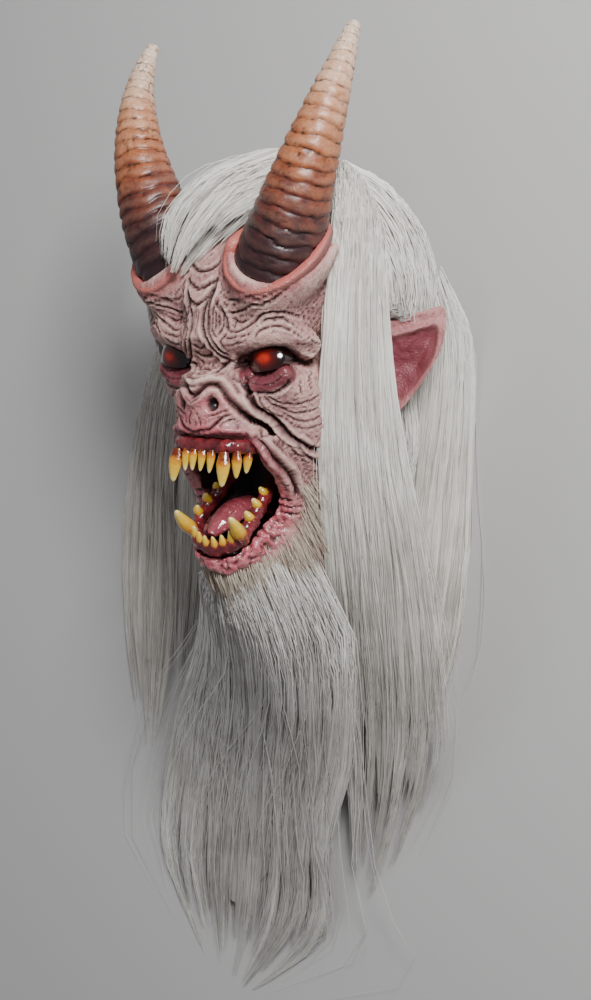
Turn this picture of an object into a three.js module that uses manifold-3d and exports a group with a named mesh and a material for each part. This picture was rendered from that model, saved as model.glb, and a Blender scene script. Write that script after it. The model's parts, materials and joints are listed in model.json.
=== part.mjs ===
// A full-head krampus mask, lying on its back: a hollow latex skin with a roaring mouth and long pointed
// ears, two ringed horns, red eyes, a set of fangs above and below, a tongue, and long white hair and
// beard that fall from the head to the surface the mask lies on.
// Millimetres. Head axes: +X is the wearer's left, +Y the crown, +Z the way the face looks.
// The head's axis lies axisHeight above the surface, so the exported group stands on z = 0.

import * as THREE from "three";
import { mergeVertices } from "three/addons/utils/BufferGeometryUtils.js";
import Module from "manifold-3d";

const wasm = await Module();
wasm.setup();

// Driving sizes
const axisHeight = 112;
const restY = 46;
const wall = 5;
const seatGap = 0.6;
const neckCutY = -202;
const hornBaseRadius = 35;
const hornTipRadius = 4.2;
const hornRingCount = 14;
const hornRingDepth = 0.9;
const rimRadii = [hornBaseRadius + 5, hornBaseRadius - 0.5];
const rimTube = 6.5;
const lipRadius = 5.5;
const mouthBackZ = 34;
const earWall = 4.5;
const gumRadius = 5.4;
// The axis height for which the hair's low points are written, so that they can follow a new one
const drawnAxisHeight = 112;

// Materials
const finishes = {
  skin: { color: 0xc2a49b, roughness: 0.6 },
  horn: { color: 0x8a4a2c, roughness: 0.45 },
  eye: { color: 0x7a1208, roughness: 0.1 },
  teeth: { color: 0xd9a11c, roughness: 0.25 },
  tongue: { color: 0x8c3440, roughness: 0.25 },
  hair: { color: 0xe4dfd8, roughness: 0.5 },
};

// Head form: every main mass as an ellipsoid, mirrored in x where its centre stands off the midline
const masses = [
  { name: "cranium", centre: [0, 50, -8], radii: [88, 104, 94], blend: 1 },
  { name: "neck", centre: [0, -120, -14], radii: [68, 150, 62], blend: 26 },
  { name: "forehead", centre: [0, 56, 54], radii: [82, 58, 58], blend: 20 },
  { name: "horn boss", centre: [46, 66, 73], radii: [hornBaseRadius + 1, hornBaseRadius + 11, hornBaseRadius + 11], blend: 12 },
  { name: "cheek", centre: [0, -70, 14], radii: [84, 86, 60], blend: 24 },
  { name: "muzzle", centre: [0, -34, 62], radii: [50, 28, 60], blend: 18 },
  { name: "jaw", centre: [0, -160, 54], radii: [36, 24, 52], blend: 16 },
  { name: "jaw side", centre: [34, -138, 36], radii: [22, 34, 34], blend: 16 },
  { name: "cheekbone", centre: [50, -20, 56], radii: [28, 22, 38], blend: 16 },
  { name: "cheek side", centre: [50, -52, 36], radii: [34, 44, 42], blend: 16 },
];

// Carved forms that ride on the masses, as rolls through a few points
const rolls = [
  { name: "centre ridge", points: [[0, 68, 90], [0, 47, 100], [0, 33, 101], [0, 8, 104], [0, -25, 106], [0, -40, 104]],
    radius: 21, blend: 14 },
  { name: "brow", points: [[14, 14, 104], [32, 17, 104], [50, 23, 99], [66, 24, 88], [76, 14, 74]], radius: 11, blend: 12 },
  { name: "muzzle rim", points: [[0, -54, 112], [20, -55, 110], [34, -60, 101], [44, -70, 88], [49, -86, 72],
    [49, -104, 60], [46, -118, 54]], radius: 10, blend: 10 },
  { name: "inner fold", points: [[27, -14, 100], [34, -25, 98], [41, -38, 92], [50, -52, 84], [60, -68, 70], [66, -84, 56]],
    radius: 7, blend: 6 },
  { name: "lower lid", points: [[34, -13, 88], [50, -15, 90], [63, -9, 84]], radius: 7.5, blend: 5 },
];

// Hollows sunk into the form
const hollows = [
  { name: "eye socket", centre: [51, -3, 110], radii: [25, 14, 19], blend: 6 },
  { name: "nostril", centre: [15.5, -32.5, 126], radii: [4.5, 6.5, 12], blend: 3 },
  { name: "temple", centre: [108, 30, 62], radii: [18, 30, 24], blend: 16 },
  { name: "cheek hollow", centre: [98, -80, 52], radii: [24, 24, 28], blend: 16 },
];

// Seats and paths
const eyeOutline = [[32, -3], [41, 9], [61, 14], [70, 7], [64, -5], [43, -9]];
const eyeDome = { centre: [52, 1, 75], radius: 22, back: 82 };
const hornPath = [[51, 76, 83], [79, 126, 99], [110, 207, 91], [104, 260, 54]];
const rimCentre = [51, 84, 88];
const rimNormal = [0.16, 0.72, 0.68];
const earEdge = [[80, 24, 5], [100, 33, -7], [117, 39, -21], [130, 43, -34], [134, 27, -33], [132, 8, -28],
  [125, -8, -24], [114, -26, -20], [100, -44, -13], [82, -53, -7], [77, -34, -6], [76, -12, -4], [77, 8, 0]];
const earHollow = [103, -4, -33];
// Mouth edge on the wearer's left, from the middle of the upper lip to the middle of the lower one
const mouthEdge = [[0, -60, 124], [20, -61, 122], [33, -64, 114], [39, -68, 106], [41.5, -76, 92], [43, -88, 80],
  [42.5, -100, 70], [41, -112, 63], [36, -124, 63], [30, -134, 69], [26.5, -146, 84], [20, -156, 97], [9, -160.5, 104],
  [0, -161, 106]];

// Distances, all negative inside a form
const mirrored = (p, centre) => (centre[0] === 0 ? p[0] : Math.abs(p[0]));

function ellipsoidDistance(p, centre, radii) {
  const x = mirrored(p, centre) - centre[0];
  const y = p[1] - centre[1];
  const z = p[2] - centre[2];
  const near = Math.hypot(x / radii[0], y / radii[1], z / radii[2]);
  const slope = Math.hypot(x / radii[0] ** 2, y / radii[1] ** 2, z / radii[2] ** 2);
  return slope < 1e-9 ? -Math.min(...radii) : (near * (near - 1)) / slope;
}

function rollDistance(p, points, radius) {
  let nearest = Infinity;
  const side = points.some((q) => q[0] !== 0) ? Math.abs(p[0]) : p[0];
  for (let i = 1; i < points.length; i += 1) {
    const [ax, ay, az] = points[i - 1];
    const along = [points[i][0] - ax, points[i][1] - ay, points[i][2] - az];
    const to = [side - ax, p[1] - ay, p[2] - az];
    const reach = along[0] ** 2 + along[1] ** 2 + along[2] ** 2;
    const t = THREE.MathUtils.clamp((to[0] * along[0] + to[1] * along[1] + to[2] * along[2]) / reach, 0, 1);
    const gap = Math.hypot(to[0] - t * along[0], to[1] - t * along[1], to[2] - t * along[2]);
    nearest = Math.min(nearest, gap);
  }
  return nearest - radius;
}

function joinSmooth(a, b, blend) {
  const h = Math.max(blend - Math.abs(a - b), 0) / blend;
  return Math.min(a, b) - (h * h * blend) / 4;
}

const cutSmooth = (a, b, blend) => -joinSmooth(-a, b, blend);

// The lips stand just outside the mouth's edge and follow it round
function lipPoints() {
  return mouthEdge.map(([x, y, z], i) => {
    const before = mouthEdge[Math.max(i - 1, 0)];
    const after = mouthEdge[Math.min(i + 1, mouthEdge.length - 1)];
    const along = new THREE.Vector2(after[0] - before[0], after[1] - before[1]).normalize();
    return [x - along.y * 3, y + along.x * 3, z - 4];
  });
}

const lips = lipPoints();

function headDistance(p) {
  let d = Infinity;
  for (const mass of masses) {
    const own = ellipsoidDistance(p, mass.centre, mass.radii);
    d = d === Infinity ? own : joinSmooth(d, own, mass.blend);
  }
  return d;
}

function faceDistance(p) {
  let d = headDistance(p);
  for (const roll of rolls) d = joinSmooth(d, rollDistance(p, roll.points, roll.radius), roll.blend);
  for (const hollow of hollows) {
    d = cutSmooth(d, ellipsoidDistance(p, hollow.centre, hollow.radii), hollow.blend);
  }
  return joinSmooth(d, rollDistance(p, lips, lipRadius), 6);
}

// The wearer's space: the plain masses drawn in by the wall, kept behind the mouth and the eyes
function cavityDistance(p) {
  let d = Infinity;
  for (const [index, inset] of [[0, wall], [1, wall], [2, wall + 10], [4, wall + 3]]) {
    const own = ellipsoidDistance(p, masses[index].centre, masses[index].radii.map((r) => r - inset));
    d = d === Infinity ? own : joinSmooth(d, own, 10);
  }
  const mouthRoom = ellipsoidDistance(p, [0, -108, 90], [54, 66, 90 - mouthBackZ + wall + 3]);
  return cutSmooth(d, mouthRoom, 8);
}

// Meshing: rays from the head's axis meet the form on a grid that is fine over the face
const axisZ = 10;
const crownY = 44;
const mirrorAngles = (angles) => [...angles.map((a) => -a).reverse().filter((a) => a !== 0), ...angles];
const frontAngles = [...Array.from({ length: 8 }, (_, i) => i * 5.2), 43, 50, 58, 67, 77, 90, 106];
const fineColumns = [...mirrorAngles(frontAngles), 126, 150, 180, 210, 234];
const coarseColumns = Array.from({ length: 18 }, (_, i) => i * 20);
const stepsBetween = (low, high, step) => {
  const count = Math.round((high - low) / step);
  return Array.from({ length: count + 1 }, (_, i) => low + ((high - low) * i) / count);
};

function rayHit(distance, origin, direction) {
  const at = (reach) => distance(origin.clone().addScaledVector(direction, reach).toArray());
  let outside = 210;
  let inside = outside;
  while (inside > 1) {
    const gap = at(inside);
    if (gap < 0) break;
    outside = inside;
    inside -= Math.max(gap * 0.8, 0.6);
  }
  for (let turn = 0; turn < 12; turn += 1) {
    const middle = (outside + inside) / 2;
    if (at(middle) < 0) inside = middle;
    else outside = middle;
  }
  return origin.clone().addScaledVector(direction, (inside + outside) / 2).toArray();
}

function rayForm(distance, columns, levels, lifts) {
  const rings = [];
  for (const y of levels) {
    rings.push(columns.map((angle) => {
      const turn = THREE.MathUtils.degToRad(angle);
      const direction = new THREE.Vector3(Math.sin(turn), 0, Math.cos(turn));
      return rayHit(distance, new THREE.Vector3(0, y, axisZ), direction);
    }));
  }
  for (const lift of lifts) {
    const rise = THREE.MathUtils.degToRad(lift);
    rings.push(columns.map((angle) => {
      const turn = THREE.MathUtils.degToRad(angle);
      const level = Math.cos(rise);
      const direction = new THREE.Vector3(level * Math.sin(turn), Math.sin(rise), level * Math.cos(turn));
      return rayHit(distance, new THREE.Vector3(0, crownY, axisZ), direction);
    }));
  }
  const pole = rayHit(distance, new THREE.Vector3(0, crownY, axisZ), new THREE.Vector3(0, 1, 0));
  return loft(rings, pole);
}

// Solids in and out of the joining library
function solidFromFaces(positions, faces) {
  return new wasm.Manifold(new wasm.Mesh({
    numProp: 3,
    vertProperties: Float32Array.from(positions.flat()),
    triVerts: Uint32Array.from(faces.flat()),
  }));
}

function solidFromGeometry(geometry) {
  const plain = geometry.clone();
  plain.deleteAttribute("normal");
  plain.deleteAttribute("uv");
  const merged = mergeVertices(plain, 1e-3);
  return new wasm.Manifold(new wasm.Mesh({
    numProp: 3,
    vertProperties: merged.attributes.position.array,
    triVerts: Uint32Array.from(merged.index.array),
  }));
}

function namedMesh(name, solid, finish) {
  const made = solid.getMesh();
  const places = new Float32Array(made.numVert * 3);
  for (let i = 0; i < made.numVert; i += 1) {
    places.set(made.vertProperties.subarray(i * made.numProp, i * made.numProp + 3), i * 3);
  }
  const geometry = new THREE.BufferGeometry();
  geometry.setAttribute("position", new THREE.BufferAttribute(places, 3));
  geometry.setIndex(new THREE.BufferAttribute(Uint32Array.from(made.triVerts), 1));
  geometry.computeVertexNormals();
  const mesh = new THREE.Mesh(geometry, new THREE.MeshStandardMaterial({ ...finishes[finish], metalness: 0 }));
  mesh.name = name;
  return mesh;
}

// A closed loft: each station gives a ring of points, and both ends close on their ring's middle
function loft(rings, pole) {
  const sides = rings[0].length;
  const positions = rings.flat();
  const faces = [];
  for (let i = 1; i < rings.length; i += 1) {
    for (let s = 0; s < sides; s += 1) {
      const next = (s + 1) % sides;
      const [a, b] = [(i - 1) * sides + s, (i - 1) * sides + next];
      const [c, d] = [i * sides + next, i * sides + s];
      const span = (m, n) => Math.hypot(...positions[m].map((value, axis) => value - positions[n][axis]));
      if (span(a, c) <= span(b, d)) faces.push([a, b, c], [a, c, d]);
      else faces.push([b, c, d], [b, d, a]);
    }
  }
  const middle = (ring) => [0, 1, 2].map((axis) => ring.reduce((sum, q) => sum + q[axis], 0) / ring.length);
  const first = positions.push(middle(rings[0])) - 1;
  const last = positions.push(pole ?? middle(rings[rings.length - 1])) - 1;
  const end = (rings.length - 1) * sides;
  for (let s = 0; s < sides; s += 1) {
    const next = (s + 1) % sides;
    faces.push([first, next, s], [last, end + s, end + next]);
  }
  const solid = solidFromFaces(positions, faces);
  return solid.volume() < 0 ? solidFromFaces(positions, faces.map(([a, b, c]) => [a, c, b])) : solid;
}

// Horns: a bent cone with rings that fade towards the tip
function hornSolid(side, grow) {
  const path = new THREE.CubicBezierCurve3(...hornPath.map(([x, y, z]) => new THREE.Vector3(side * x, y, z)));
  const steps = hornRingCount * 2;
  const sides = 10;
  const rings = [];
  for (let i = 0; i <= steps; i += 1) {
    const t = i / steps;
    const centre = path.getPoint(t);
    const along = path.getTangent(t);
    const across = new THREE.Vector3(0, 0, 1).cross(along).normalize();
    const up = along.clone().cross(across);
    const taper = hornTipRadius + (hornBaseRadius - hornTipRadius) * (1 - t ** 1.15);
    const ridge = i % 2 ? hornRingDepth * (1 - t) : -hornRingDepth;
    const radius = taper + ridge + grow;
    rings.push(Array.from({ length: sides }, (_, s) => {
      const turn = (s / sides) * 2 * Math.PI;
      return centre.clone()
        .addScaledVector(across, radius * Math.cos(turn))
        .addScaledVector(up, radius * Math.sin(turn))
        .toArray();
    }));
  }
  return loft(rings);
}

// Ears: a pointed leaf, hollowed towards the front, with an even wall
function earSolid(side, grow) {
  const rim = earEdge.map(([x, y, z]) => new THREE.Vector3(x * side, y, z));
  const hollow = new THREE.Vector3(earHollow[0] * side, earHollow[1], earHollow[2]);
  const facing = new THREE.Vector3(0.73 * side, -0.03, 0.68).normalize();
  const steps = 3;
  const positions = [];
  const thick = earWall / 2 + grow;
  for (const face of [1, -1]) {
    for (let i = steps; i >= 1; i -= 1) {
      const t = i / steps;
      for (const edge of rim) {
        const place = hollow.clone().lerp(edge, i === steps ? 1 + grow / 36 : t ** 0.8);
        const rolled = i === steps ? 0.5 : 1;
        const lift = face < 0 && i < steps ? -1.5 : 0;
        positions.push(place.addScaledVector(facing, face * thick * rolled + lift).toArray());
      }
    }
    positions.push(hollow.clone().addScaledVector(facing, face * thick).toArray());
  }
  const count = rim.length;
  const sheet = count * steps + 1;
  const faces = [];
  for (const [offset, flip] of [[0, false], [sheet, true]]) {
    const add = (a, b, c) => faces.push(flip ? [a, c, b] : [a, b, c]);
    for (let s = 0; s < count; s += 1) {
      const next = (s + 1) % count;
      for (let i = 0; i < steps - 1; i += 1) {
        const [a, b] = [offset + i * count + s, offset + i * count + next];
        add(a, b, b + count);
        add(a, b + count, a + count);
      }
      add(offset + (steps - 1) * count + s, offset + (steps - 1) * count + next, offset + sheet - 1);
    }
  }
  for (let s = 0; s < count; s += 1) {
    const next = (s + 1) % count;
    faces.push([s, sheet + next, next], [s, sheet + s, sheet + next]);
  }
  const solid = solidFromFaces(positions, faces);
  return solid.volume() < 0 ? solidFromFaces(positions, faces.map(([a, b, c]) => [a, c, b])) : solid;
}

// Hair that lies as a flat lock along a path, its broad side turned to face out, its edges wrapped back
function lockSolid({ path, width, thickness, turn, wrap, taper = 0.7, steps = 11 }) {
  const settled = path.map(([x, y, z]) => new THREE.Vector3(x, y, z < 0 ? (z * axisHeight) / drawnAxisHeight : z));
  const curve = new THREE.CatmullRomCurve3(settled, false, "centripetal");
  const sides = 8;
  const rings = [];
  for (let i = 0; i <= steps; i += 1) {
    const t = i / steps;
    const centre = curve.getPointAt(t);
    const along = curve.getTangentAt(t);
    const lean = new THREE.Vector3(...turn[0]).lerp(new THREE.Vector3(...turn[1]), Math.min(t * 1.6, 1));
    const across = lean.cross(along).normalize();
    const out = along.clone().cross(across).negate();
    if (out.dot(new THREE.Vector3(...turn[0])) + out.z < 0) out.negate();
    const end = 1 - 0.72 * Math.max(0, (t - taper) / (1 - taper)) ** 1.5;
    const swell = Math.min(1, 0.6 + 3 * t) * end;
    const half = (THREE.MathUtils.lerp(width[0], width[1], Math.min(1, t * 1.4)) / 2) * swell;
    const depth = (THREE.MathUtils.lerp(thickness[0], thickness[1], t) / 2) * (0.4 + 0.6 * swell);
    const bend = THREE.MathUtils.lerp(wrap[0], wrap[1], Math.min(1, t * 2));
    rings.push(Array.from({ length: sides }, (_, s) => {
      const angle = (s / sides) * 2 * Math.PI;
      const reach = Math.cos(angle);
      const ridge = 1 + 0.14 * Math.cos(angle * 4);
      return centre.clone()
        .addScaledVector(across, half * reach)
        .addScaledVector(out, depth * Math.sin(angle) * ridge - bend * reach * reach)
        .toArray();
    }));
  }
  return loft(rings);
}

// Each lock: the way it falls from the head to the surface, and its flat section at the root and the tip
const locks = {
  lock_left_front: {
    path: [[92, 122, 30], [102, 84, 42], [103, 50, 42], [102, -30, 36], [104, -105, 22], [99, -200, -12],
      [80, -298, -52], [56, -370, -80], [34, -440, -98], [14, -515, -107]],
    width: [42, 80], thickness: [13, 15], turn: [[1, 0.2, 0.35], [0.25, 0, 1]], wrap: [3, 0],
  },
  lock_left_back: {
    path: [[102, 70, -56], [106, 30, -72], [102, -10, -84], [95, -60, -92], [87, -125, -99], [76, -215, -103],
      [64, -309, -105], [52, -378, -107]],
    width: [48, 64], thickness: [15, 14], turn: [[1, 0, 0.3], [0.2, 0, 1]], wrap: [3, 0],
  },
  lock_right_front: {
    path: [[-92, 116, 30], [-108, 64, 26], [-128, 20, -20], [-158, -20, -70], [-182, -80, -96], [-192, -160, -103],
      [-200, -250, -105], [-214, -340, -106], [-228, -420, -107]],
    width: [42, 76], thickness: [13, 13], turn: [[-1, 0.2, 0.35], [-0.1, 0, 1]], wrap: [3, 0],
  },
  lock_right_back: {
    path: [[-98, 66, -62], [-142, 50, -92], [-200, 26, -103], [-242, -34, -105], [-262, -120, -106],
      [-270, -220, -107], [-276, -320, -107], [-276, -420, -107]],
    width: [46, 74], thickness: [14, 11], turn: [[-0.5, 0, 1], [0, 0, 1]], wrap: [2, 0],
  },
  beard: {
    path: [[2, -160, 84], [1, -186, 80], [-4, -214, 66], [-18, -248, 40], [-46, -294, 4], [-78, -342, -30],
      [-114, -402, -62], [-144, -462, -86], [-164, -532, -101], [-174, -600, -107], [-178, -652, -108]],
    width: [124, 172], thickness: [24, 14], turn: [[0, -0.5, 1], [0, 0, 1]], wrap: [46, 4], taper: 0.62, steps: 14,
  },
};

const forelock = {
  path: [[6, 160, 8], [2, 148, 44], [-4, 130, 80], [-10, 108, 106], [-15, 87, 118]],
  width: [80, 64], thickness: [30, 28], turn: [[0, 0.7, 0.7], [0, 0.4, 1]], wrap: [6, 4], taper: 0.6, steps: 7,
};

// Hair that caps the skull, drawn back behind the brow and the ears
function capDistance(p, grow = 0) {
  let d = ellipsoidDistance(p, [0, 50, -24], [113, 116, axisHeight - 12]);
  d = joinSmooth(d, ellipsoidDistance(p, [0, -70, -46], [90, 100, axisHeight - 48]), 16);
  const besideEar = THREE.MathUtils.smoothstep(p[1], 22, 56);
  const hairline = THREE.MathUtils.lerp(-14, 10 + 0.6 * p[1], besideEar);
  return cutSmooth(d, -(p[2] - hairline) * 0.7, 5) - grow;
}

function capSolid(grow) {
  const levels = stepsBetween(-178 - grow, 44, 18.5);
  return rayForm((p) => capDistance(p, grow), coarseColumns, levels, [12, 24, 36, 48, 62, 76]);
}

// Jaws: a band of gum along an arch, with teeth set on it. Places are given for the wearer's left side
// Each tooth: its root, its tip and its radius, from the front
const jaws = {
  upper_teeth: {
    arch: [[0, -66, 118], [12, -66, 118], [23, -66, 115], [30, -66, 107], [34, -67, 95], [35, -68, 76], [33, -69, 40]],
    teeth: [
      [[4.6, -67, 120], [4.2, -86, 124], 3.6], [[13.2, -67, 119], [12.8, -87, 123], 3.7],
      [[24.4, -66, 117], [26, -97, 123], 6.2], [[30.6, -67, 109], [31, -91, 111], 4.7],
      [[34, -68, 99], [33.6, -88, 101], 4],
    ],
  },
  lower_teeth: {
    arch: [[0, -152, 104], [13, -149, 102], [23, -143, 98], [27, -131, 88], [26, -118, 74], [23, -104, 58], [20, -94, 38]],
    teeth: [
      [[4, -151, 106], [4.1, -141, 110], 3.3], [[11.6, -149, 105], [12, -139, 108], 3.5],
      [[18.6, -146, 102], [19.2, -135, 106], 3.8], [[25.8, -141, 99], [29, -122, 117], 7],
      [[27.4, -128, 89], [26, -120, 94], 4.6], [[26.6, -119, 78], [25.2, -111, 84], 4.6],
      [[25, -110, 67], [23.6, -103, 73], 4.4],
    ],
  },
};

function toothSolid(place, tip, radius) {
  const along = tip.clone().sub(place);
  const across = new THREE.Vector3(0, 0, 1).cross(along).normalize();
  const out = along.clone().normalize().cross(across);
  const profile = [[-0.15, 0.95], [0.5, 0.86], [1, 0.18]];
  return loft(profile.map(([t, share]) => Array.from({ length: 5 }, (_, s) => {
    const turn = (s / 5 + 0.25) * 2 * Math.PI;
    return place.clone()
      .addScaledVector(along, t)
      .addScaledVector(across, radius * share * Math.cos(turn))
      .addScaledVector(out, radius * 0.8 * share * Math.sin(turn))
      .toArray();
  })));
}

function jawSolid({ arch, teeth }) {
  const half = arch.map(([x, y, z]) => new THREE.Vector3(x, y, z));
  const other = arch.slice(1).map(([x, y, z]) => new THREE.Vector3(-x, y, z)).reverse();
  const curve = new THREE.CatmullRomCurve3([...other, ...half], false, "centripetal");
  const steps = 14;
  const rings = [];
  for (let i = 0; i <= steps; i += 1) {
    const centre = curve.getPointAt(i / steps);
    const along = curve.getTangentAt(i / steps);
    const across = new THREE.Vector3(0, 1, 0).cross(along).normalize();
    const high = along.clone().cross(across);
    rings.push(Array.from({ length: 6 }, (_, s) => {
      const turn = (s / 6) * 2 * Math.PI;
      return centre.clone()
        .addScaledVector(across, gumRadius * 0.85 * Math.cos(turn))
        .addScaledVector(high, gumRadius * Math.sin(turn))
        .toArray();
    }));
  }
  let jaw = loft(rings);
  for (const side of [-1, 1]) {
    for (const [root, tip, radius] of teeth) {
      const place = new THREE.Vector3(side * root[0], root[1], root[2]);
      jaw = jaw.add(toothSolid(place, new THREE.Vector3(side * tip[0], tip[1], tip[2]), radius));
    }
  }
  return jaw;
}

// Tongue: a broad roll that thins to its tip, with a groove down the middle
function tongueSolid() {
  const path = new THREE.QuadraticBezierCurve3(
    new THREE.Vector3(0, -128, 34), new THREE.Vector3(0, -106, 78), new THREE.Vector3(-1, -141, 105));
  const steps = 7;
  const rings = [];
  for (let i = 0; i <= steps; i += 1) {
    const t = i / steps;
    const centre = path.getPoint(t);
    const along = path.getTangent(t);
    const across = new THREE.Vector3(1, 0, 0);
    const up = along.clone().cross(across).normalize();
    const half = 16.5 * Math.sqrt(Math.max(1 - Math.max(0, (t - 0.45) / 0.56) ** 2.4, 0.02));
    rings.push(Array.from({ length: 12 }, (_, s) => {
      const turn = (s / 12) * 2 * Math.PI;
      const groove = Math.max(0, -Math.sin(turn)) ** 8 * 0.55;
      return centre.clone()
        .addScaledVector(across, half * Math.cos(turn))
        .addScaledVector(up, 7 * Math.sin(turn) * (1 - groove) * (0.45 + half / 34))
        .toArray();
    }));
  }
  return loft(rings);
}

// Eyes: a glass dome trimmed to the almond between the lids
function eyePrism(side, inset) {
  const middle = new THREE.Vector2(eyeDome.centre[0], eyeDome.centre[1]);
  const shape = new THREE.Shape();
  const corners = eyeOutline.map(([x, y]) => {
    const corner = new THREE.Vector2(x, y);
    return corner.sub(middle).multiplyScalar(1 - inset / 14).add(middle);
  });
  shape.setFromPoints(new THREE.SplineCurve([...corners, corners[0]]).getPoints(14).slice(0, -1));
  const prism = new THREE.ExtrudeGeometry(shape, { depth: 60, bevelEnabled: false, steps: 1 });
  prism.translate(0, 0, eyeDome.back + inset);
  const solid = solidFromGeometry(prism);
  return side < 0 ? solid.mirror([1, 0, 0]) : solid;
}

function eyeSolid(side) {
  const globe = new THREE.SphereGeometry(eyeDome.radius, 16, 10).rotateX(Math.PI / 2);
  globe.translate(side * eyeDome.centre[0], eyeDome.centre[1], eyeDome.centre[2]);
  return solidFromGeometry(globe).intersect(eyePrism(side, 0.5));
}

// The raised flesh ring that each horn grows out of, an oval tube in a plane that faces forward and up
function rimSolid(side, grow = 0) {
  const normal = new THREE.Vector3(rimNormal[0] * side, rimNormal[1], rimNormal[2]).normalize();
  const across = new THREE.Vector3(0, 1, 0).cross(normal).normalize();
  const up = normal.clone().cross(across);
  const around = 18;
  const sides = 6;
  const positions = [];
  const faces = [];
  for (let i = 0; i < around; i += 1) {
    const turn = (i / around) * 2 * Math.PI;
    const spoke = across.clone().multiplyScalar(Math.cos(turn)).addScaledVector(up, Math.sin(turn));
    const centre = new THREE.Vector3(rimCentre[0] * side, rimCentre[1], rimCentre[2])
      .addScaledVector(across, rimRadii[1] * Math.cos(turn))
      .addScaledVector(up, rimRadii[0] * Math.sin(turn));
    for (let s = 0; s < sides; s += 1) {
      const roll = (s / sides) * 2 * Math.PI;
      positions.push(centre.clone()
        .addScaledVector(spoke, (rimTube + grow) * Math.cos(roll))
        .addScaledVector(normal, (rimTube + grow) * Math.sin(roll))
        .toArray());
      const [a, b] = [i * sides + s, i * sides + ((s + 1) % sides)];
      const [c, d] = [((i + 1) % around) * sides + ((s + 1) % sides), ((i + 1) % around) * sides + s];
      faces.push([a, b, c], [a, c, d]);
    }
  }
  const solid = solidFromFaces(positions, faces);
  return solid.volume() < 0 ? solidFromFaces(positions, faces.map(([a, b, c]) => [a, c, b])) : solid;
}

// The mouth's hollow: its edge carried straight back and closed by a rounded end
function mouthSolid(inset) {
  const half = mouthEdge.map(([x, y]) => [x, y]);
  const outline = [...half, ...half.slice(1, -1).reverse().map(([x, y]) => [-x, y])];
  const middle = [0, -108];
  const stations = [[150, 1], [58, 1], [44, 0.9], [mouthBackZ + 3, 0.68], [mouthBackZ, 0.4]];
  return loft(stations.map(([z, share]) => outline.map(([x, y]) => [
    middle[0] + (x - middle[0]) * (share - inset / 45),
    middle[1] + (y - middle[1]) * (share - inset / 50),
    z,
  ])));
}

// Assembly
function blockSolid(low, high) {
  const size = high.map((value, axis) => value - low[axis]);
  const block = new THREE.BoxGeometry(...size);
  block.translate(...low.map((value, axis) => value + size[axis] / 2));
  return solidFromGeometry(block);
}

const joinAll = (solids) => solids.reduce((a, b) => a.add(b));
const bothSides = (make) => joinAll([make(-1), make(1)]);
const biggest = (solid) => solid.decompose().reduce((a, b) => (a.volume() > b.volume() ? a : b));
const fineLevels = [neckCutY, -189, -177, ...stepsBetween(-167, -52, 9.6), ...stepsBetween(-44, 44, 8.8)];
const fineLifts = [7, 15, 23, 31, 41, 54, 70];
const looseLevels = stepsBetween(neckCutY - 10, 44, 19);
const looseLifts = [18, 36, 54, 72];
const mouth = mouthSolid(0);
const mouthKept = mouthSolid(seatGap);
const eyeSeats = bothSides((side) => eyePrism(side, 0));
const rims = bothSides(rimSolid);
const ears = bothSides((side) => earSolid(side, 0));
const earRoom = bothSides((side) => earSolid(side, 2));
const outer = rayForm(faceDistance, fineColumns, fineLevels, fineLifts);
const grown = rayForm((p) => faceDistance(p) - seatGap, fineColumns, fineLevels, fineLifts);
const looseRoom = rayForm((p) => faceDistance(p) - 3.2, coarseColumns, looseLevels, looseLifts);
const rimRoom = bothSides((side) => rimSolid(side, seatGap));
const cavity = rayForm(cavityDistance, coarseColumns, looseLevels, looseLifts);
const hornRoom = bothSides((side) => hornSolid(side, seatGap));
const outerRoom = grown.add(rimRoom).subtract(mouthKept).subtract(bothSides((side) => eyePrism(side, 0.2)));
const skin = biggest(outer.add(rims).add(ears).subtract(mouth).subtract(eyeSeats).subtract(hornRoom).subtract(cavity));
const forelockRoom = lockSolid(forelock);
const cap = capSolid(0).add(forelockRoom).subtract(looseRoom).subtract(outerRoom).subtract(earRoom).subtract(hornRoom);
const capRoom = capSolid(seatGap).add(forelockRoom);
const belowFloor = blockSolid([-800, -900, -axisHeight - 200], [800, 900, -axisHeight]);

const head = new THREE.Group();
head.position.set(0, -restY, axisHeight);
head.add(namedMesh("mask_skin", skin, "skin"));
for (const [side, hand] of [[1, "left"], [-1, "right"]]) {
  head.add(namedMesh(`horn_${hand}`, hornSolid(side, 0), "horn"));
  head.add(namedMesh(`eye_${hand}`, eyeSolid(side), "eye"));
}
for (const [name, jaw] of Object.entries(jaws)) {
  head.add(namedMesh(name, biggest(jawSolid(jaw).subtract(outerRoom)), "teeth"));
}
head.add(namedMesh("tongue", biggest(tongueSolid().subtract(outerRoom)), "tongue"));
head.add(namedMesh("hair_crown", biggest(cap.subtract(belowFloor)), "hair"));
for (const [name, lock] of Object.entries(locks)) {
  const solid = lockSolid(lock).subtract(outerRoom).subtract(capRoom).subtract(earRoom).subtract(belowFloor);
  head.add(namedMesh(name, biggest(solid), "hair"));
}

const part = new THREE.Group();
part.add(head);
export default part;
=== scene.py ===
"""A krampus mask laid on its back: sculpted skin, ringed horns, glossy eyes, teeth, tongue and long hair.

Every form is drawn in head millimetres: x to the wearer's left, y to the crown, z the way the face looks.
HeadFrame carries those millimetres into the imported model's frame, in metres.
"""

import json
import logging
import math
from dataclasses import dataclass, field
from enum import Enum

import bpy
import numpy as np
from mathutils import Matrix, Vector, kdtree, noise

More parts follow.
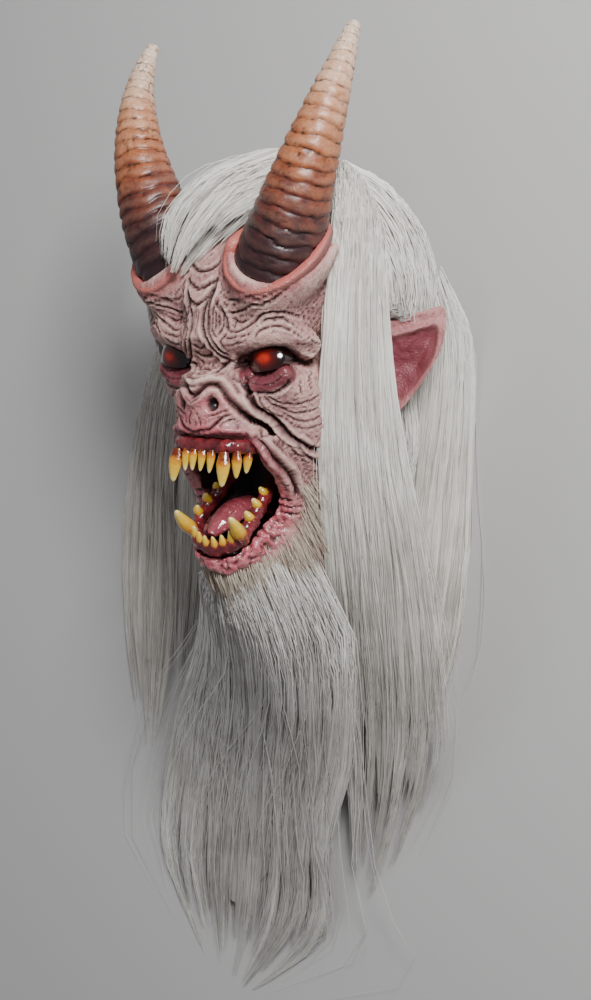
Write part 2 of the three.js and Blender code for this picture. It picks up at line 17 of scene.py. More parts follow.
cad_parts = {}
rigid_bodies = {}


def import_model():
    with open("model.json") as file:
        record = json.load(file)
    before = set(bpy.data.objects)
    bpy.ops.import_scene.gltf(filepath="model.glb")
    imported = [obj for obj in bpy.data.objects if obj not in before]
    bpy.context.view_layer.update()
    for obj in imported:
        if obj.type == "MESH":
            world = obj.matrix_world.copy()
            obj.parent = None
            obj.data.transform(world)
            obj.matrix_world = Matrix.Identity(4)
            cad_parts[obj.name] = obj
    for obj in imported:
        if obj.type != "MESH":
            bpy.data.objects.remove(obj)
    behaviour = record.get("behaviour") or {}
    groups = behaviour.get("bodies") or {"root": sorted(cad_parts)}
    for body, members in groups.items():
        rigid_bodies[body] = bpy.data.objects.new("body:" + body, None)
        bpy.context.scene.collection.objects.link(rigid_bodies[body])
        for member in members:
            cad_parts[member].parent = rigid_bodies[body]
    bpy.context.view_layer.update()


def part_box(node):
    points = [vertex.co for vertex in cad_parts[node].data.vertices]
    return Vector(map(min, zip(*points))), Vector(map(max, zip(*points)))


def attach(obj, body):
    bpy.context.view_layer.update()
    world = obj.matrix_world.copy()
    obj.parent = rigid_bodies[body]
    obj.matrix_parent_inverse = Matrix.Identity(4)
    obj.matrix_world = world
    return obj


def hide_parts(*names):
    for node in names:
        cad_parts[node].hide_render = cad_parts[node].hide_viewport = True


LOG = logging.getLogger("krampus_mask")
Array = np.ndarray
Piece = bpy.types.Object
Material = bpy.types.Material
Tree = bpy.types.NodeTree
Node = bpy.types.Node
Socket = bpy.types.NodeSocket
Colour = tuple[float, float, float, float]
Place = tuple[float, float, float]


def rgb(red: float, green: float, blue: float) -> Colour:
    """Returns an opaque colour from linear parts."""
    return (red, green, blue, 1.0)


# Frame and small sums


@dataclass(frozen=True)
class HeadFrame:
    """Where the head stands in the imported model."""

    neck_reach: float = 202.0
    axis_height: float = 112.0
    millimetre: float = 0.001

    def origin(self) -> Array:
        """Finds the head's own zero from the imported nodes.

        Returns:
            The place of the head's zero in metres.
        """
        skin_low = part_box("mask_skin")[0]
        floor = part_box("hair_crown")[0][2]
        return np.array([
            0.0,
            skin_low[1] + self.neck_reach * self.millimetre,
            floor + self.axis_height * self.millimetre,
        ])

    def to_scene(self, places: Array) -> Array:
        """Carries head millimetres into the scene's metres."""
        return np.asarray(places) * self.millimetre + self.origin()


def smooth_step(values: Array, low: float, high: float) -> Array:
    """Returns a soft step from nought at low to one at high."""
    share = np.clip((values - low) / (high - low), 0.0, 1.0)
    return share * share * (3.0 - 2.0 * share)


def unit(vectors: Array) -> Array:
    """Returns the vectors at length one."""
    return vectors / np.maximum(np.linalg.norm(vectors, axis=-1, keepdims=True), 1e-9)


def mirrored(places: Array) -> Array:
    """Returns the places folded onto the wearer's left side."""
    folded = places.copy()
    folded[..., 0] = np.abs(folded[..., 0])
    return folded


def hand(side: int) -> Array:
    """Returns the factors that carry a left-hand place to a side."""
    return np.array([side, 1, 1])


def glow(gap: Array, width: float | Array) -> Array:
    """Returns a weight of one inside a form, which falls away softly outside it."""
    return np.exp(-(np.maximum(gap, 0) / width) ** 2)


def zone(places: Array, centre: Place, radii: Place) -> Array:
    """Returns a soft cloud of weight round a centre on both sides of the face."""
    offset = (mirrored(places) - np.array(centre)) / np.array(radii)
    return np.exp(-(offset ** 2).sum(axis=-1))


def pleats(distance: Array, spacing: float) -> Array:
    """Returns round crests and sharp valleys, from minus one in a valley to nought on a crest."""
    return np.abs(np.sin(math.pi * distance / spacing)) - 1.0


def rough(places: Array, size: float, seed: float = 0.0) -> Array:
    """Gives smooth noise over some places.

    Args:
        places: The places, in millimetres.
        size: The width of one lump, in millimetres.
        seed: A shift that makes one noise differ from the next.

    Returns:
        A value between about minus one and one for each place.
    """
    flat = (places.reshape(-1, 3) / size + seed).tolist()
    values = np.fromiter((noise.noise(Vector(spot)) for spot in flat), float, len(flat))
    return (values * 1.6).reshape(places.shape[:-1])


def curve_through(points: Array, count: int, closed: bool = False) -> Array:
    """Spaces points evenly along a smooth curve through a few places.

    Args:
        points: The places that the curve passes through.
        count: How many points to return.
        closed: Whether the curve runs back to its start.

    Returns:
        An array of count places.
    """
    knots = np.asarray(points, float)
    if closed:
        knots = np.vstack([knots[-1], knots, knots[0], knots[1]])
    else:
        knots = np.vstack([2 * knots[0] - knots[1], knots, 2 * knots[-1] - knots[-2]])
    share = np.linspace(0.0, 1.0, 24, endpoint=False)[:, None]
    pieces = []
    for a, b, c, d in zip(knots, knots[1:], knots[2:], knots[3:]):
        cubic = (3 * b - a - 3 * c + d) * share ** 3
        square = (2 * a - 5 * b + 4 * c - d) * share ** 2
        pieces.append(0.5 * (2 * b + (c - a) * share + square + cubic))
    pieces.append(knots[1][None] if closed else knots[-2][None])
    dense = np.vstack(pieces)
    steps = np.linalg.norm(np.diff(dense, axis=0), axis=1)
    walked = np.concatenate([[0.0], np.cumsum(steps)])
    even = np.linspace(0.0, walked[-1], count + 1 if closed else count)
    even = even[:-1] if closed else even
    return np.column_stack([np.interp(even, walked, dense[:, axis]) for axis in range(dense.shape[1])])


def spaced(low: float, high: float, count: int, density: Array) -> Array:
    """Spaces values between two ends, closer where the density is greater.

    Args:
        low: The first value.
        high: The last value.
        count: How many values to return.
        density: Weights at even steps from low to high.

    Returns:
        An array of count values.
    """
    even = np.linspace(low, high, len(density))
    weight = np.concatenate([[0.0], np.cumsum((density[1:] + density[:-1]) / 2)])
    return np.interp(np.linspace(0.0, weight[-1], count), weight, even)


# Distances to forms, negative inside


@dataclass(frozen=True)
class Mass:
    """One main mass of the head, an ellipsoid on the midline or one on each side."""

    centre: Place
    radii: Place
    blend: float

    def distance(self, places: Array) -> Array:
        """Returns how far each place is outside the mass."""
        folded = mirrored(places) if self.centre[0] else places
        offset = folded - np.array(self.centre)
        radii = np.array(self.radii)
        near = np.sqrt(((offset / radii) ** 2).sum(axis=-1))
        slope = np.sqrt(((offset / radii ** 2) ** 2).sum(axis=-1))
        return near * (near - 1.0) / np.maximum(slope, 1e-6)

    def grown(self, amount: float) -> "Mass":
        """Returns the same mass with longer radii."""
        return Mass(self.centre, tuple(radius + amount for radius in self.radii), self.blend)


def line_distance(places: Array, line: Array) -> tuple[Array, Array]:
    """Measures places against a broken line.

    Args:
        places: The places, on the line's own side.
        line: The line's corners.

    Returns:
        How far each place is from the line, and how far along the line its nearest point is.
    """
    nearest = np.full(places.shape[:-1], np.inf)
    along = np.zeros(places.shape[:-1])
    walked = 0.0
    for start, end in zip(line[:-1], line[1:]):
        step = end - start
        length = float(np.linalg.norm(step))
        to_place = places - start
        share = np.clip(to_place @ step / length ** 2, 0.0, 1.0)
        gap = np.linalg.norm(to_place - share[..., None] * step, axis=-1)
        closer = gap < nearest
        nearest = np.where(closer, gap, nearest)
        along = np.where(closer, walked + share * length, along)
        walked += length
    return nearest, along


@dataclass(frozen=True)
class Roll:
    """A carved roll of flesh through a few points, on both sides of the face."""

    points: tuple[Place, ...]
    radius: float
    blend: float

    def distance(self, places: Array) -> Array:
        """Returns how far each place is outside the roll."""
        return line_distance(mirrored(places), np.array(self.points))[0] - self.radius


def join_smooth(first: Array, second: Array, blend: float) -> Array:
    """Returns the distance to two forms that flow into each other."""
    near = np.maximum(blend - np.abs(first - second), 0.0) / blend
    return np.minimum(first, second) - near * near * blend / 4


def cut_smooth(form: Array, tool: Array, blend: float) -> Array:
    """Returns the distance to a form with a tool's shape sunk into it."""
    return -join_smooth(-form, tool, blend)


# Meshes


def clear_selection() -> None:
    """Deselects every object, so that an operator acts on new work alone."""
    for other in bpy.context.view_layer.objects:
        other.select_set(False)


def make_active(piece: Piece) -> None:
    """Selects one object alone and makes it the active one."""
    clear_selection()
    piece.select_set(True)
    bpy.context.view_layer.objects.active = piece


def read_places(piece: Piece) -> Array:
    """Returns an object's vertex places as an array."""
    flat = np.empty(len(piece.data.vertices) * 3)
    piece.data.vertices.foreach_get("co", flat)
    return flat.reshape(-1, 3)


def write_places(piece: Piece, places: Array) -> None:
    """Moves an object's vertices to the given places."""
    piece.data.vertices.foreach_set("co", places.reshape(-1))
    piece.data.update()


def store(piece: Piece, name: str, values: float | Array) -> None:
    """Keeps one number a vertex on the mesh, for its material to read."""
    layer = piece.data.attributes.get(name) or piece.data.attributes.new(name, "FLOAT", "POINT")
    spread = np.broadcast_to(values, len(piece.data.vertices))
    layer.data.foreach_set("value", spread.astype(np.float32))


def face_outwards(piece: Piece) -> None:
    """Recalculates the normals so that the faces point out."""
    make_active(piece)
    bpy.ops.object.mode_set(mode="EDIT")
    bpy.ops.mesh.select_all(action="SELECT")
    bpy.ops.mesh.normals_make_consistent(inside=False)
    bpy.ops.object.mode_set(mode="OBJECT")


def loft(name: str, grid: Array, first: Array | None = None,
         last: Array | None = None) -> Piece:
    """Draws a sphere's rings out into a long or broad form.

    Args:
        name: The new object's name.
        grid: Places by ring and by side.
        first: The pole before the first ring, or nothing for that ring's middle.
        last: The pole after the last ring, or nothing for that ring's middle.

    Returns:
        The new closed object, with its faces pointing out.
    """
    rings, sides = grid.shape[:2]
    clear_selection()
    bpy.ops.mesh.primitive_uv_sphere_add(segments=sides, ring_count=rings + 1, radius=1.0)
    piece = bpy.context.object
    piece.name = name
    start = read_places(piece)
    ring = np.rint(np.arccos(np.clip(start[:, 2], -1.0, 1.0)) / math.pi * (rings + 1)).astype(int)
    side = np.rint(np.arctan2(start[:, 1], start[:, 0]) / math.tau * sides).astype(int) % sides
    placed = grid[np.clip(ring - 1, 0, rings - 1), side]
    placed[ring == 0] = grid[0].mean(axis=0) if first is None else first
    placed[ring == rings + 1] = grid[-1].mean(axis=0) if last is None else last
    write_places(piece, placed)
    face_outwards(piece)
    return piece


class Work(Enum):
    """The ways in which two solids are brought together."""

    JOIN = "UNION"
    CUT = "DIFFERENCE"
    KEEP_COMMON = "INTERSECT"


def combine(piece: Piece, tool: Piece, work: Work) -> None:
    """Joins a tool to a piece, or cuts it away, and removes the tool.

    Args:
        piece: The object that is kept.
        tool: The object that shapes it.
        work: What is done with the tool.
    """
    make_active(piece)
    modifier = piece.modifiers.new("work", "BOOLEAN")
    modifier.operation = work.value
    modifier.solver = "MANIFOLD"
    modifier.object = tool
    bpy.ops.object.modifier_apply(modifier=modifier.name)
    bpy.data.objects.remove(tool, do_unlink=True)


def finish_piece(piece: Piece, material: Material, slot: str, *nodes: str,
                 crease: float = 40.0) -> None:
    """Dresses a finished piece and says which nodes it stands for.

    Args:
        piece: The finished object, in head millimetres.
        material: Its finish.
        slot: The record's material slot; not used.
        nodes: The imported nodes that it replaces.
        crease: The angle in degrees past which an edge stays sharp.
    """
    write_places(piece, HeadFrame().to_scene(read_places(piece)))
    piece.data.materials.clear()
    piece.data.materials.append(material)
    make_active(piece)
    bpy.ops.object.shade_smooth_by_angle(angle=math.radians(crease))
    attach(piece, "root")
    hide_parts(*nodes)
    LOG.info("%s: %d faces", piece.name, len(piece.data.polygons))


@dataclass
class PaintChart:
    """Numbers for a finish, kept by place so that they outlive a cut or a join."""

    channels: tuple[str, ...] = ("cavity", "crest", "flush", "bruise", "wet", "dark", "coral")
    places: list[Array] = field(default_factory=list)
    values: dict[str, list[Array]] = field(default_factory=dict)

    def add(self, places: Array, **values: float | Array) -> None:
        """Adds places and the numbers that belong to them, nought where none is given."""
        self.places.append(places.reshape(-1, 3))
        for name in self.channels:
            spread = np.broadcast_to(values.get(name, 0.0), places.shape[:-1]).reshape(-1)
            self.values.setdefault(name, []).append(spread)

    def paint(self, piece: Piece) -> None:
        """Gives each vertex of a piece the numbers of the nearest place on the chart."""
        known = np.vstack(self.places)
        tree = kdtree.KDTree(len(known))
        for index, place in enumerate(known.tolist()):
            tree.insert(place, index)
        tree.balance()
        nearest = [tree.find(place)[1] for place in read_places(piece).tolist()]
        for name, given in self.values.items():
            store(piece, name, np.concatenate(given)[nearest])


# Head form

NECK_EDGE = -202.0
CROWN_START = 44.0


@dataclass(frozen=True)
class RayGrid:
    """Rays from the head's axis to a form, in rings of columns and a fan of rings over the crown."""

    columns: Array
    levels: Array
    lifts: Array
    axis_z: float = 10.0
    crown_y: float = CROWN_START
    march_steps: int = 120
    halvings: int = 9

    def rays(self) -> tuple[Array, Array]:
        """Lays out the rays.

        Returns:
            The start and the direction of each ray, by ring and by column.
        """
        turn = np.radians(self.columns)
        rise = np.concatenate([np.zeros(len(self.levels)), np.radians(self.lifts)])[:, None]
        level = np.concatenate([self.levels, np.full(len(self.lifts), self.crown_y)])[:, None]
        flat = np.cos(rise)
        ways = np.stack([flat * np.sin(turn), np.sin(rise) + 0 * turn, flat * np.cos(turn)], axis=-1)
        starts = np.stack([0 * ways[..., 0], level + 0 * ways[..., 0], self.axis_z + 0 * ways[..., 0]],
                          axis=-1)
        return starts, ways

    def meet(self, distance, reach: float | Array = 210.0) -> Array:
        """Follows every ray inwards until it meets a form.

        Args:
            distance: A function from places to distances.
            reach: Where along its ray each one starts.

        Returns:
            The places where the rays meet the form.
        """
        starts, ways = self.rays()
        inside = np.broadcast_to(reach, starts.shape[:-1]).astype(float)
        outside = inside.copy()
        for _ in range(self.march_steps):
            gap = distance(starts + ways * inside[..., None])
            moving = (gap >= 0) & (inside > 1.0)
            if not moving.any():
                break
            outside = np.where(moving, inside, outside)
            inside = np.where(moving, inside - np.maximum(gap * 0.85, 0.5), inside)
        for _ in range(self.halvings):
            middle = (inside + outside) / 2
            within = distance(starts + ways * middle[..., None]) < 0
            inside = np.where(within, middle, inside)
            outside = np.where(within, outside, middle)
        return starts + ways * inside[..., None]

    def pole(self, grid: Array) -> Array:
        """Returns the crown's pole, a little above the middle of the last ring."""
        middle = grid[-1].mean(axis=0)
        return middle + np.array([0.0, max(grid[-1, :, 1].max() - middle[1], 0.0) + 0.05, 0.0])


@dataclass(frozen=True)
class HeadForm:
    """The masses, rolls and hollows of the head, and the edge of its mouth."""

    masses: tuple[Mass, ...] = (
        Mass((0, 50, -8), (88, 104, 94), 1),
        Mass((0, -120, -14), (68, 150, 62), 26),
        Mass((0, 56, 54), (82, 58, 58), 20),
        Mass((46, 66, 73), (36, 46, 46), 12),
        Mass((0, -70, 14), (84, 86, 60), 24),
        Mass((0, -34, 62), (50, 28, 60), 18),
        Mass((0, -160, 54), (36, 24, 52), 16),
        Mass((34, -138, 36), (22, 34, 34), 16),
        Mass((50, -20, 56), (28, 22, 38), 16),
        Mass((50, -52, 36), (34, 44, 42), 16),
    )
    rolls: tuple[Roll, ...] = (
        Roll(((0, 68, 90), (0, 47, 100), (0, 33, 101), (0, 8, 104), (0, -25, 106), (0, -40, 104)), 21, 14),
        Roll(((14, 14, 104), (32, 17, 104), (50, 23, 99), (66, 24, 88), (76, 14, 74)), 11, 12),
        Roll(((0, -54, 112), (20, -55, 110), (34, -60, 101), (44, -70, 88), (49, -86, 72), (49, -104, 60),
              (46, -118, 54)), 10, 10),
        Roll(((30, -12, 91), (46, -14, 94), (61, -8, 88)), 8.5, 5),
        Roll(((28, 93, 102), (25, 82, 103), (31, 71, 109), (40, 63.5, 111), (49, 60, 111), (60, 59.5, 109),
              (73, 64, 103), (83, 72, 94), (88, 83, 83), (88, 94, 74)), 6.5, 14),
        Roll(((54, 53, 103), (68, 56, 98), (80, 64, 89), (87, 76, 77), (88, 90, 66)), 10, 12),
    )
    hollows: tuple[Mass, ...] = (
        Mass((47.5, -4, 111), (25, 14, 18), 6),
        Mass((15.5, -32.5, 126), (4.5, 6.5, 12), 3),
        Mass((108, 30, 62), (18, 30, 24), 16),
        Mass((98, -80, 52), (24, 24, 28), 16),
    )
    mouth_edge: tuple[Place, ...] = (
        (0, -60, 124), (20, -61, 122), (33, -64, 114), (39, -68, 106), (41.5, -76, 92), (43, -88, 80),
        (42.5, -100, 70), (41, -112, 63), (36, -124, 63), (30, -134, 69), (26.5, -146, 84), (20, -156, 97),
        (9, -160.5, 104), (0, -161, 106),
    )
    lip_radius: float = 5.5
    lip_stand_off: float = 3.0
    lip_drop: float = 4.0
    wall: float = 5.0
    mouth_back: float = 34.0

    def lip_line(self) -> Array:
        """Returns the middle of the lip's roll, just outside the mouth's edge."""
        edge = np.array(self.mouth_edge)
        along = unit(np.gradient(edge[:, :2], axis=0))
        outward = np.column_stack([-along[:, 1], along[:, 0], np.zeros(len(edge))])
        return edge + outward * self.lip_stand_off - np.array([0.0, 0.0, self.lip_drop])

    def lip_gap(self, places: Array) -> Array:
        """Returns how far each place is outside the lip's roll."""
        return line_distance(mirrored(places), self.lip_line())[0] - self.lip_radius

    def bare(self, places: Array) -> Array:
        """Returns the distance to the plain masses."""
        gap = self.masses[0].distance(places)
        for mass in self.masses[1:]:
            gap = join_smooth(gap, mass.distance(places), mass.blend)
        return gap

    def face(self, places: Array) -> Array:
        """Returns the distance to the masses with all that is carved on them."""
        gap = self.bare(places)
        for roll in self.rolls:
            gap = join_smooth(gap, roll.distance(places), roll.blend)
        for hollow in self.hollows:
            gap = cut_smooth(gap, hollow.distance(places), hollow.blend)
        return join_smooth(gap, self.lip_gap(places), 6)

    def cavity(self, places: Array) -> Array:
        """Returns the distance to the wearer's space, kept behind the mouth and the eyes."""
        insets = ((0, self.wall), (1, self.wall), (2, self.wall + 10), (4, self.wall + 3))
        parts = [self.masses[index].grown(-inset).distance(places) for index, inset in insets]
        gap = parts[0]
        for part in parts[1:]:
            gap = join_smooth(gap, part, 10)
        mouth_room = Mass((0, -108, 90), (54, 66, 98 - self.mouth_back), 8)
        return cut_smooth(gap, mouth_room.distance(places), 8)

    def plain_grid(self, turns: int, rows: int) -> RayGrid:
        """Returns an even grid for a hidden or coarse form."""
        columns = np.linspace(-180, 180, turns, endpoint=False)
        return RayGrid(columns, np.linspace(NECK_EDGE, CROWN_START, rows), np.linspace(8, 82, rows // 3))

    def room(self, name: str, grow: float) -> Piece:
        """Makes the whole head as a plain tool to cut hair back with."""
        grid = self.plain_grid(96, 96)
        places = grid.meet(lambda spots: self.face(spots) - grow)
        return loft(name, places, last=grid.pole(places))


# Shader nodes


def add_node(tree: Tree, kind: str, inputs: dict | None = None, **settings) -> Node:
    """Adds a node, sets it up and links what feeds it.

    Args:
        tree: The node tree.
        kind: The node's type.
        inputs: Values or sockets by input name or number.
        settings: The node's own settings.

    Returns:
        The new node.
    """
    node = tree.nodes.new(kind)
    for name, value in settings.items():
        setattr(node, name, value)
    for name, value in (inputs or {}).items():
        if isinstance(value, Socket):
            tree.links.new(value, node.inputs[name])
        else:
            node.inputs[name].default_value = value
    return node


def mix_colour(tree: Tree, share, first, second, blend_type: str = "MIX") -> Socket:
    """Returns a mix of two colours."""
    node = add_node(tree, "ShaderNodeMix", {0: share, 6: first, 7: second}, data_type="RGBA",
                    blend_type=blend_type)
    return node.outputs[2]


def figure(tree: Tree, operation: str, first, second=0.0, clamp: bool = False) -> Socket:
    """Returns the result of one sum."""
    node = add_node(tree, "ShaderNodeMath", {0: first, 1: second}, operation=operation, use_clamp=clamp)
    return node.outputs[0]


def reading(tree: Tree, name: str) -> Socket:
    """Returns a number that is kept on the mesh."""
    return add_node(tree, "ShaderNodeAttribute", attribute_name=name).outputs["Fac"]


def ramp(tree: Tree, share, stops: tuple[tuple[float, Colour], ...]) -> Socket:
    """Returns a colour picked along a row of stops."""
    node = add_node(tree, "ShaderNodeValToRGB", {0: share})
    row = node.color_ramp.elements
    while len(row) < len(stops):
        row.new(0.5)
    for element, (place, colour) in zip(row, stops):
        element.position = place
        element.color = colour
    return node.outputs[0]


def object_places(tree: Tree, scale: Place = (1, 1, 1)) -> Socket:
    """Returns object coordinates, stretched by a scale."""
    coordinates = add_node(tree, "ShaderNodeTexCoord").outputs["Object"]
    return add_node(tree, "ShaderNodeMapping", {"Vector": coordinates, "Scale": scale}).outputs[0]


def new_group(name: str, inputs: dict[str, float], outputs: tuple[str, ...]) -> tuple:
    """Starts a shader node group.

    Args:
        name: The group's name.
        inputs: Each number that the group takes, with its usual value.
        outputs: Each number that the group gives.

    Returns:
        The group, its input node and its output node.
    """
    group = bpy.data.node_groups.new(name, "ShaderNodeTree")
    for label, usual in inputs.items():
        socket = group.interface.new_socket(label, in_out="INPUT", socket_type="NodeSocketFloat")
        socket.default_value = usual
    for label in outputs:
        group.interface.new_socket(label, in_out="OUTPUT", socket_type="NodeSocketFloat")
    return group, group.nodes.new("NodeGroupInput"), group.nodes.new("NodeGroupOutput")


def crazing_group() -> Tree:
    """Builds the fine network of skin lines that skin, gums, tongue and horn share.

    Returns:
        A group that gives a height for bump and a mask of the lines.
    """
    name = "crazing"
    if name in bpy.data.node_groups:
        return bpy.data.node_groups[name]
    group, given, result = new_group(name, {"Scale": 300.0, "Warp": 0.002}, ("Height", "Lines"))
    spots = object_places(group)
    drift = add_node(group, "ShaderNodeTexNoise", {"Vector": spots, "Scale": 120.0, "Detail": 2.0})
    push = add_node(group, "ShaderNodeVectorMath", {0: drift.outputs["Color"], 1: (0.5, 0.5, 0.5)},
                    operation="SUBTRACT").outputs[0]
    pushed = add_node(group, "ShaderNodeVectorMath", {0: push}, operation="SCALE")
    group.links.new(given.outputs["Warp"], pushed.inputs["Scale"])
    warped = add_node(group, "ShaderNodeVectorMath", {0: spots, 1: pushed.outputs[0]},
                      operation="ADD").outputs[0]
    cells = add_node(group, "ShaderNodeTexVoronoi", {"Vector": warped, "Scale": given.outputs["Scale"]},
                     feature="DISTANCE_TO_EDGE").outputs["Distance"]
    grain = add_node(group, "ShaderNodeTexNoise", {"Vector": spots, "Scale": 900.0,
                                                   "Detail": 4.0}).outputs["Fac"]
    plates = figure(group, "MULTIPLY", cells, 3.2, clamp=True)
    height = figure(group, "ADD", plates, figure(group, "MULTIPLY", grain, 0.35))
    lines = figure(group, "SUBTRACT", 1.0, figure(group, "MULTIPLY", cells, 7.0, clamp=True))
    group.links.new(height, result.inputs["Height"])
    group.links.new(lines, result.inputs["Lines"])
    return group


def mottle_group() -> Tree:
    """Builds the sponge-painted blotches that every painted surface shares.

    Returns:
        A group that gives broad clouds and small flecks.
    """
    name = "mottle"
    if name in bpy.data.node_groups:
        return bpy.data.node_groups[name]
    group, given, result = new_group(name, {"Scale": 40.0}, ("Clouds", "Flecks"))
    spots = object_places(group)
    clouds = add_node(group, "ShaderNodeTexNoise", {"Vector": spots, "Scale": given.outputs["Scale"],
                                                    "Detail": 5.0,
                                                    "Roughness": 0.62}).outputs["Fac"]
    small = figure(group, "MULTIPLY", given.outputs["Scale"], 7.0)
    flecks = add_node(group, "ShaderNodeTexNoise", {"Vector": spots, "Scale": small,
                                                    "Detail": 3.0}).outputs["Fac"]
    spread = add_node(group, "ShaderNodeMapRange", {"Value": clouds, "From Min": 0.34,
                                                    "From Max": 0.68}).outputs[0]
    dots = add_node(group, "ShaderNodeMapRange", {"Value": flecks, "From Min": 0.52,
                                                  "From Max": 0.7}).outputs[0]
    group.links.new(spread, result.inputs["Clouds"])
    group.links.new(dots, result.inputs["Flecks"])
    return group


def use_group(tree: Tree, group: Tree, **inputs: float) -> Node:
    """Places a group in a tree with its own values."""
    return add_node(tree, "ShaderNodeGroup", inputs, node_tree=group)


def clouded(tree: Tree, share, mottle: Node, amount: float) -> Socket:
    """Returns a share that wanders with the clouds of the blotches."""
    drift = figure(tree, "MULTIPLY", figure(tree, "SUBTRACT", mottle.outputs["Clouds"], 0.5), amount)
    return figure(tree, "ADD", share, drift)


def new_material(name: str) -> tuple[Material, Tree]:
    """Returns a new material and its empty node tree."""
    material = bpy.data.materials.new(name)
    material.use_nodes = True
    material.node_tree.nodes.clear()
    return material, material.node_tree


def close_material(tree: Tree, inputs: dict, height=None, depth: float = 0.0) -> None:
    """Ends a material in its shader.

    Args:
        tree: The material's node tree.
        inputs: The shader's values and sockets.
        height: A socket with the bump's height, if there is one.
        depth: The bump's depth in metres.
    """
    if height is not None:
        bump = add_node(tree, "ShaderNodeBump", {"Height": height, "Strength": 1.0, "Distance": depth})
        inputs = {**inputs, "Normal": bump.outputs[0]}
    shader = add_node(tree, "ShaderNodeBsdfPrincipled", inputs)
    add_node(tree, "ShaderNodeOutputMaterial", {"Surface": shader.outputs[0]})


# Finishes


@dataclass(frozen=True)
class SkinFinish:
    """Pale latex skin with a dark wash and painted shade in its creases, painted highlights on its raised
    folds, painted shade in its sockets, nostrils and mouth, pink flesh and purple bruises.
    """

    pale: Colour = rgb(0.62, 0.370, 0.325)
    grey: Colour = rgb(0.35, 0.165, 0.165)
    # A painted highlight colour for the raised folds.
    crest: Colour = rgb(0.80, 0.58, 0.50)
    # A dark wash with painted shade, for the creases, hollows and fine skin lines.
    wash_and_shade: Colour = rgb(0.026, 0.006, 0.007)
    flesh: Colour = rgb(0.50, 0.095, 0.125)
    bruise: Colour = rgb(0.115, 0.030, 0.042)
    # Painted shade for the eye sockets, nostrils, deep mouth and inside of the mask.
    deep: Colour = rgb(0.008, 0.002, 0.003)
    coral: Colour = rgb(0.56, 0.145, 0.12)

    def build(self) -> Material:
        """Returns the skin's material."""
        material, tree = new_material("skin")
        crazing = use_group(tree, crazing_group(), Scale=420.0, Warp=0.004)
        mottle = use_group(tree, mottle_group(), Scale=34.0)
        cavity = reading(tree, "cavity")
        colour = mix_colour(tree, mottle.outputs["Clouds"], self.pale, self.grey)
        # Painted highlight: raised folds are mixed towards the lighter crest colour.
        crest = figure(tree, "MULTIPLY", reading(tree, "crest"), 0.85, clamp=True)
        colour = mix_colour(tree, crest, colour, self.crest)
        ruddy = figure(tree, "MULTIPLY", mottle.outputs["Flecks"], 0.22)
        colour = mix_colour(tree, ruddy, colour, self.flesh)
        colour = mix_colour(tree, reading(tree, "bruise"), colour, self.bruise)
        colour = mix_colour(tree, reading(tree, "flush"), colour, self.flesh)
        colour = mix_colour(tree, reading(tree, "coral"), colour, self.coral)
        # Dark wash and painted shade: hollows, carved creases and fine skin lines are mixed towards near
        # black.
        lines = figure(tree, "MULTIPLY", crazing.outputs["Lines"], 0.22)
        sunk = figure(tree, "MAXIMUM", cavity, lines)
        colour = mix_colour(tree, sunk, colour, self.wash_and_shade)
        # Painted shade in the eye sockets, nostrils, deep in the mouth and inside the mask, with the lids'
        # own dark maroon.
        colour = mix_colour(tree, reading(tree, "dark"), colour, self.deep)
        wet = reading(tree, "wet")
        sheen = figure(tree, "SUBTRACT", 0.52, figure(tree, "MULTIPLY", wet, 0.34))
        close_material(tree, {"Base Color": colour, "Roughness": sheen, "Coat Weight": wet,
                              "Coat Roughness": 0.12, "Specular IOR Level": 0.45},
                       crazing.outputs["Height"], 0.00025)
        return material


@dataclass(frozen=True)
class HornFinish:
    """Satin horn, near black at the base and tan to cream at the tip, with painted highlights on its ring
    crests and a dark wash with painted shade in its grooves.
    """

    stops: tuple[tuple[float, Colour], ...] = (
        (0.0, rgb(0.020, 0.007, 0.009)),
        (0.18, rgb(0.045, 0.012, 0.014)),
        (0.32, rgb(0.16, 0.036, 0.020)),
        (0.46, rgb(0.36, 0.105, 0.036)),
        (0.62, rgb(0.50, 0.21, 0.10)),
        (0.76, rgb(0.68, 0.42, 0.28)),
        (1.0, rgb(0.84, 0.70, 0.56)),
    )
    # A dark wash with painted shade, for the grooves, pits, cracks and fine lines.
    wash_and_shade: Colour = rgb(0.014, 0.004, 0.004)
    # A painted highlight colour for the ring crests.
    crest_highlight: Colour = rgb(0.66, 0.38, 0.24)

    def build(self) -> Material:
        """Returns the horn's material."""
        material, tree = new_material("horn")
        crazing = use_group(tree, crazing_group(), Scale=240.0, Warp=0.006)
        mottle = use_group(tree, mottle_group(), Scale=60.0)
        along = reading(tree, "along")
        colour = ramp(tree, clouded(tree, along, mottle, 0.16), self.stops)
        # Painted highlight on the ring crests, stronger towards the tip.
        crest = figure(tree, "MULTIPLY", figure(tree, "MULTIPLY", reading(tree, "crest"), along), 0.6,
                       clamp=True)
        colour = mix_colour(tree, crest, colour, self.crest_highlight)
        # Dark wash and painted shade in the grooves, pits, cracks and fine lines, with dark flecks.
        flecks = figure(tree, "MULTIPLY", mottle.outputs["Flecks"], 0.2)
        sunk = figure(tree, "MAXIMUM", reading(tree, "cavity"), flecks)
        sunk = figure(tree, "MAXIMUM", sunk, figure(tree, "MULTIPLY", crazing.outputs["Lines"], 0.2))
        colour = mix_colour(tree, sunk, colour, self.wash_and_shade)
        close_material(tree, {"Base Color": colour, "Roughness": 0.45, "Coat Weight": 0.2,
                              "Coat Roughness": 0.3},
                       crazing.outputs["Height"], 0.00008)
        return material


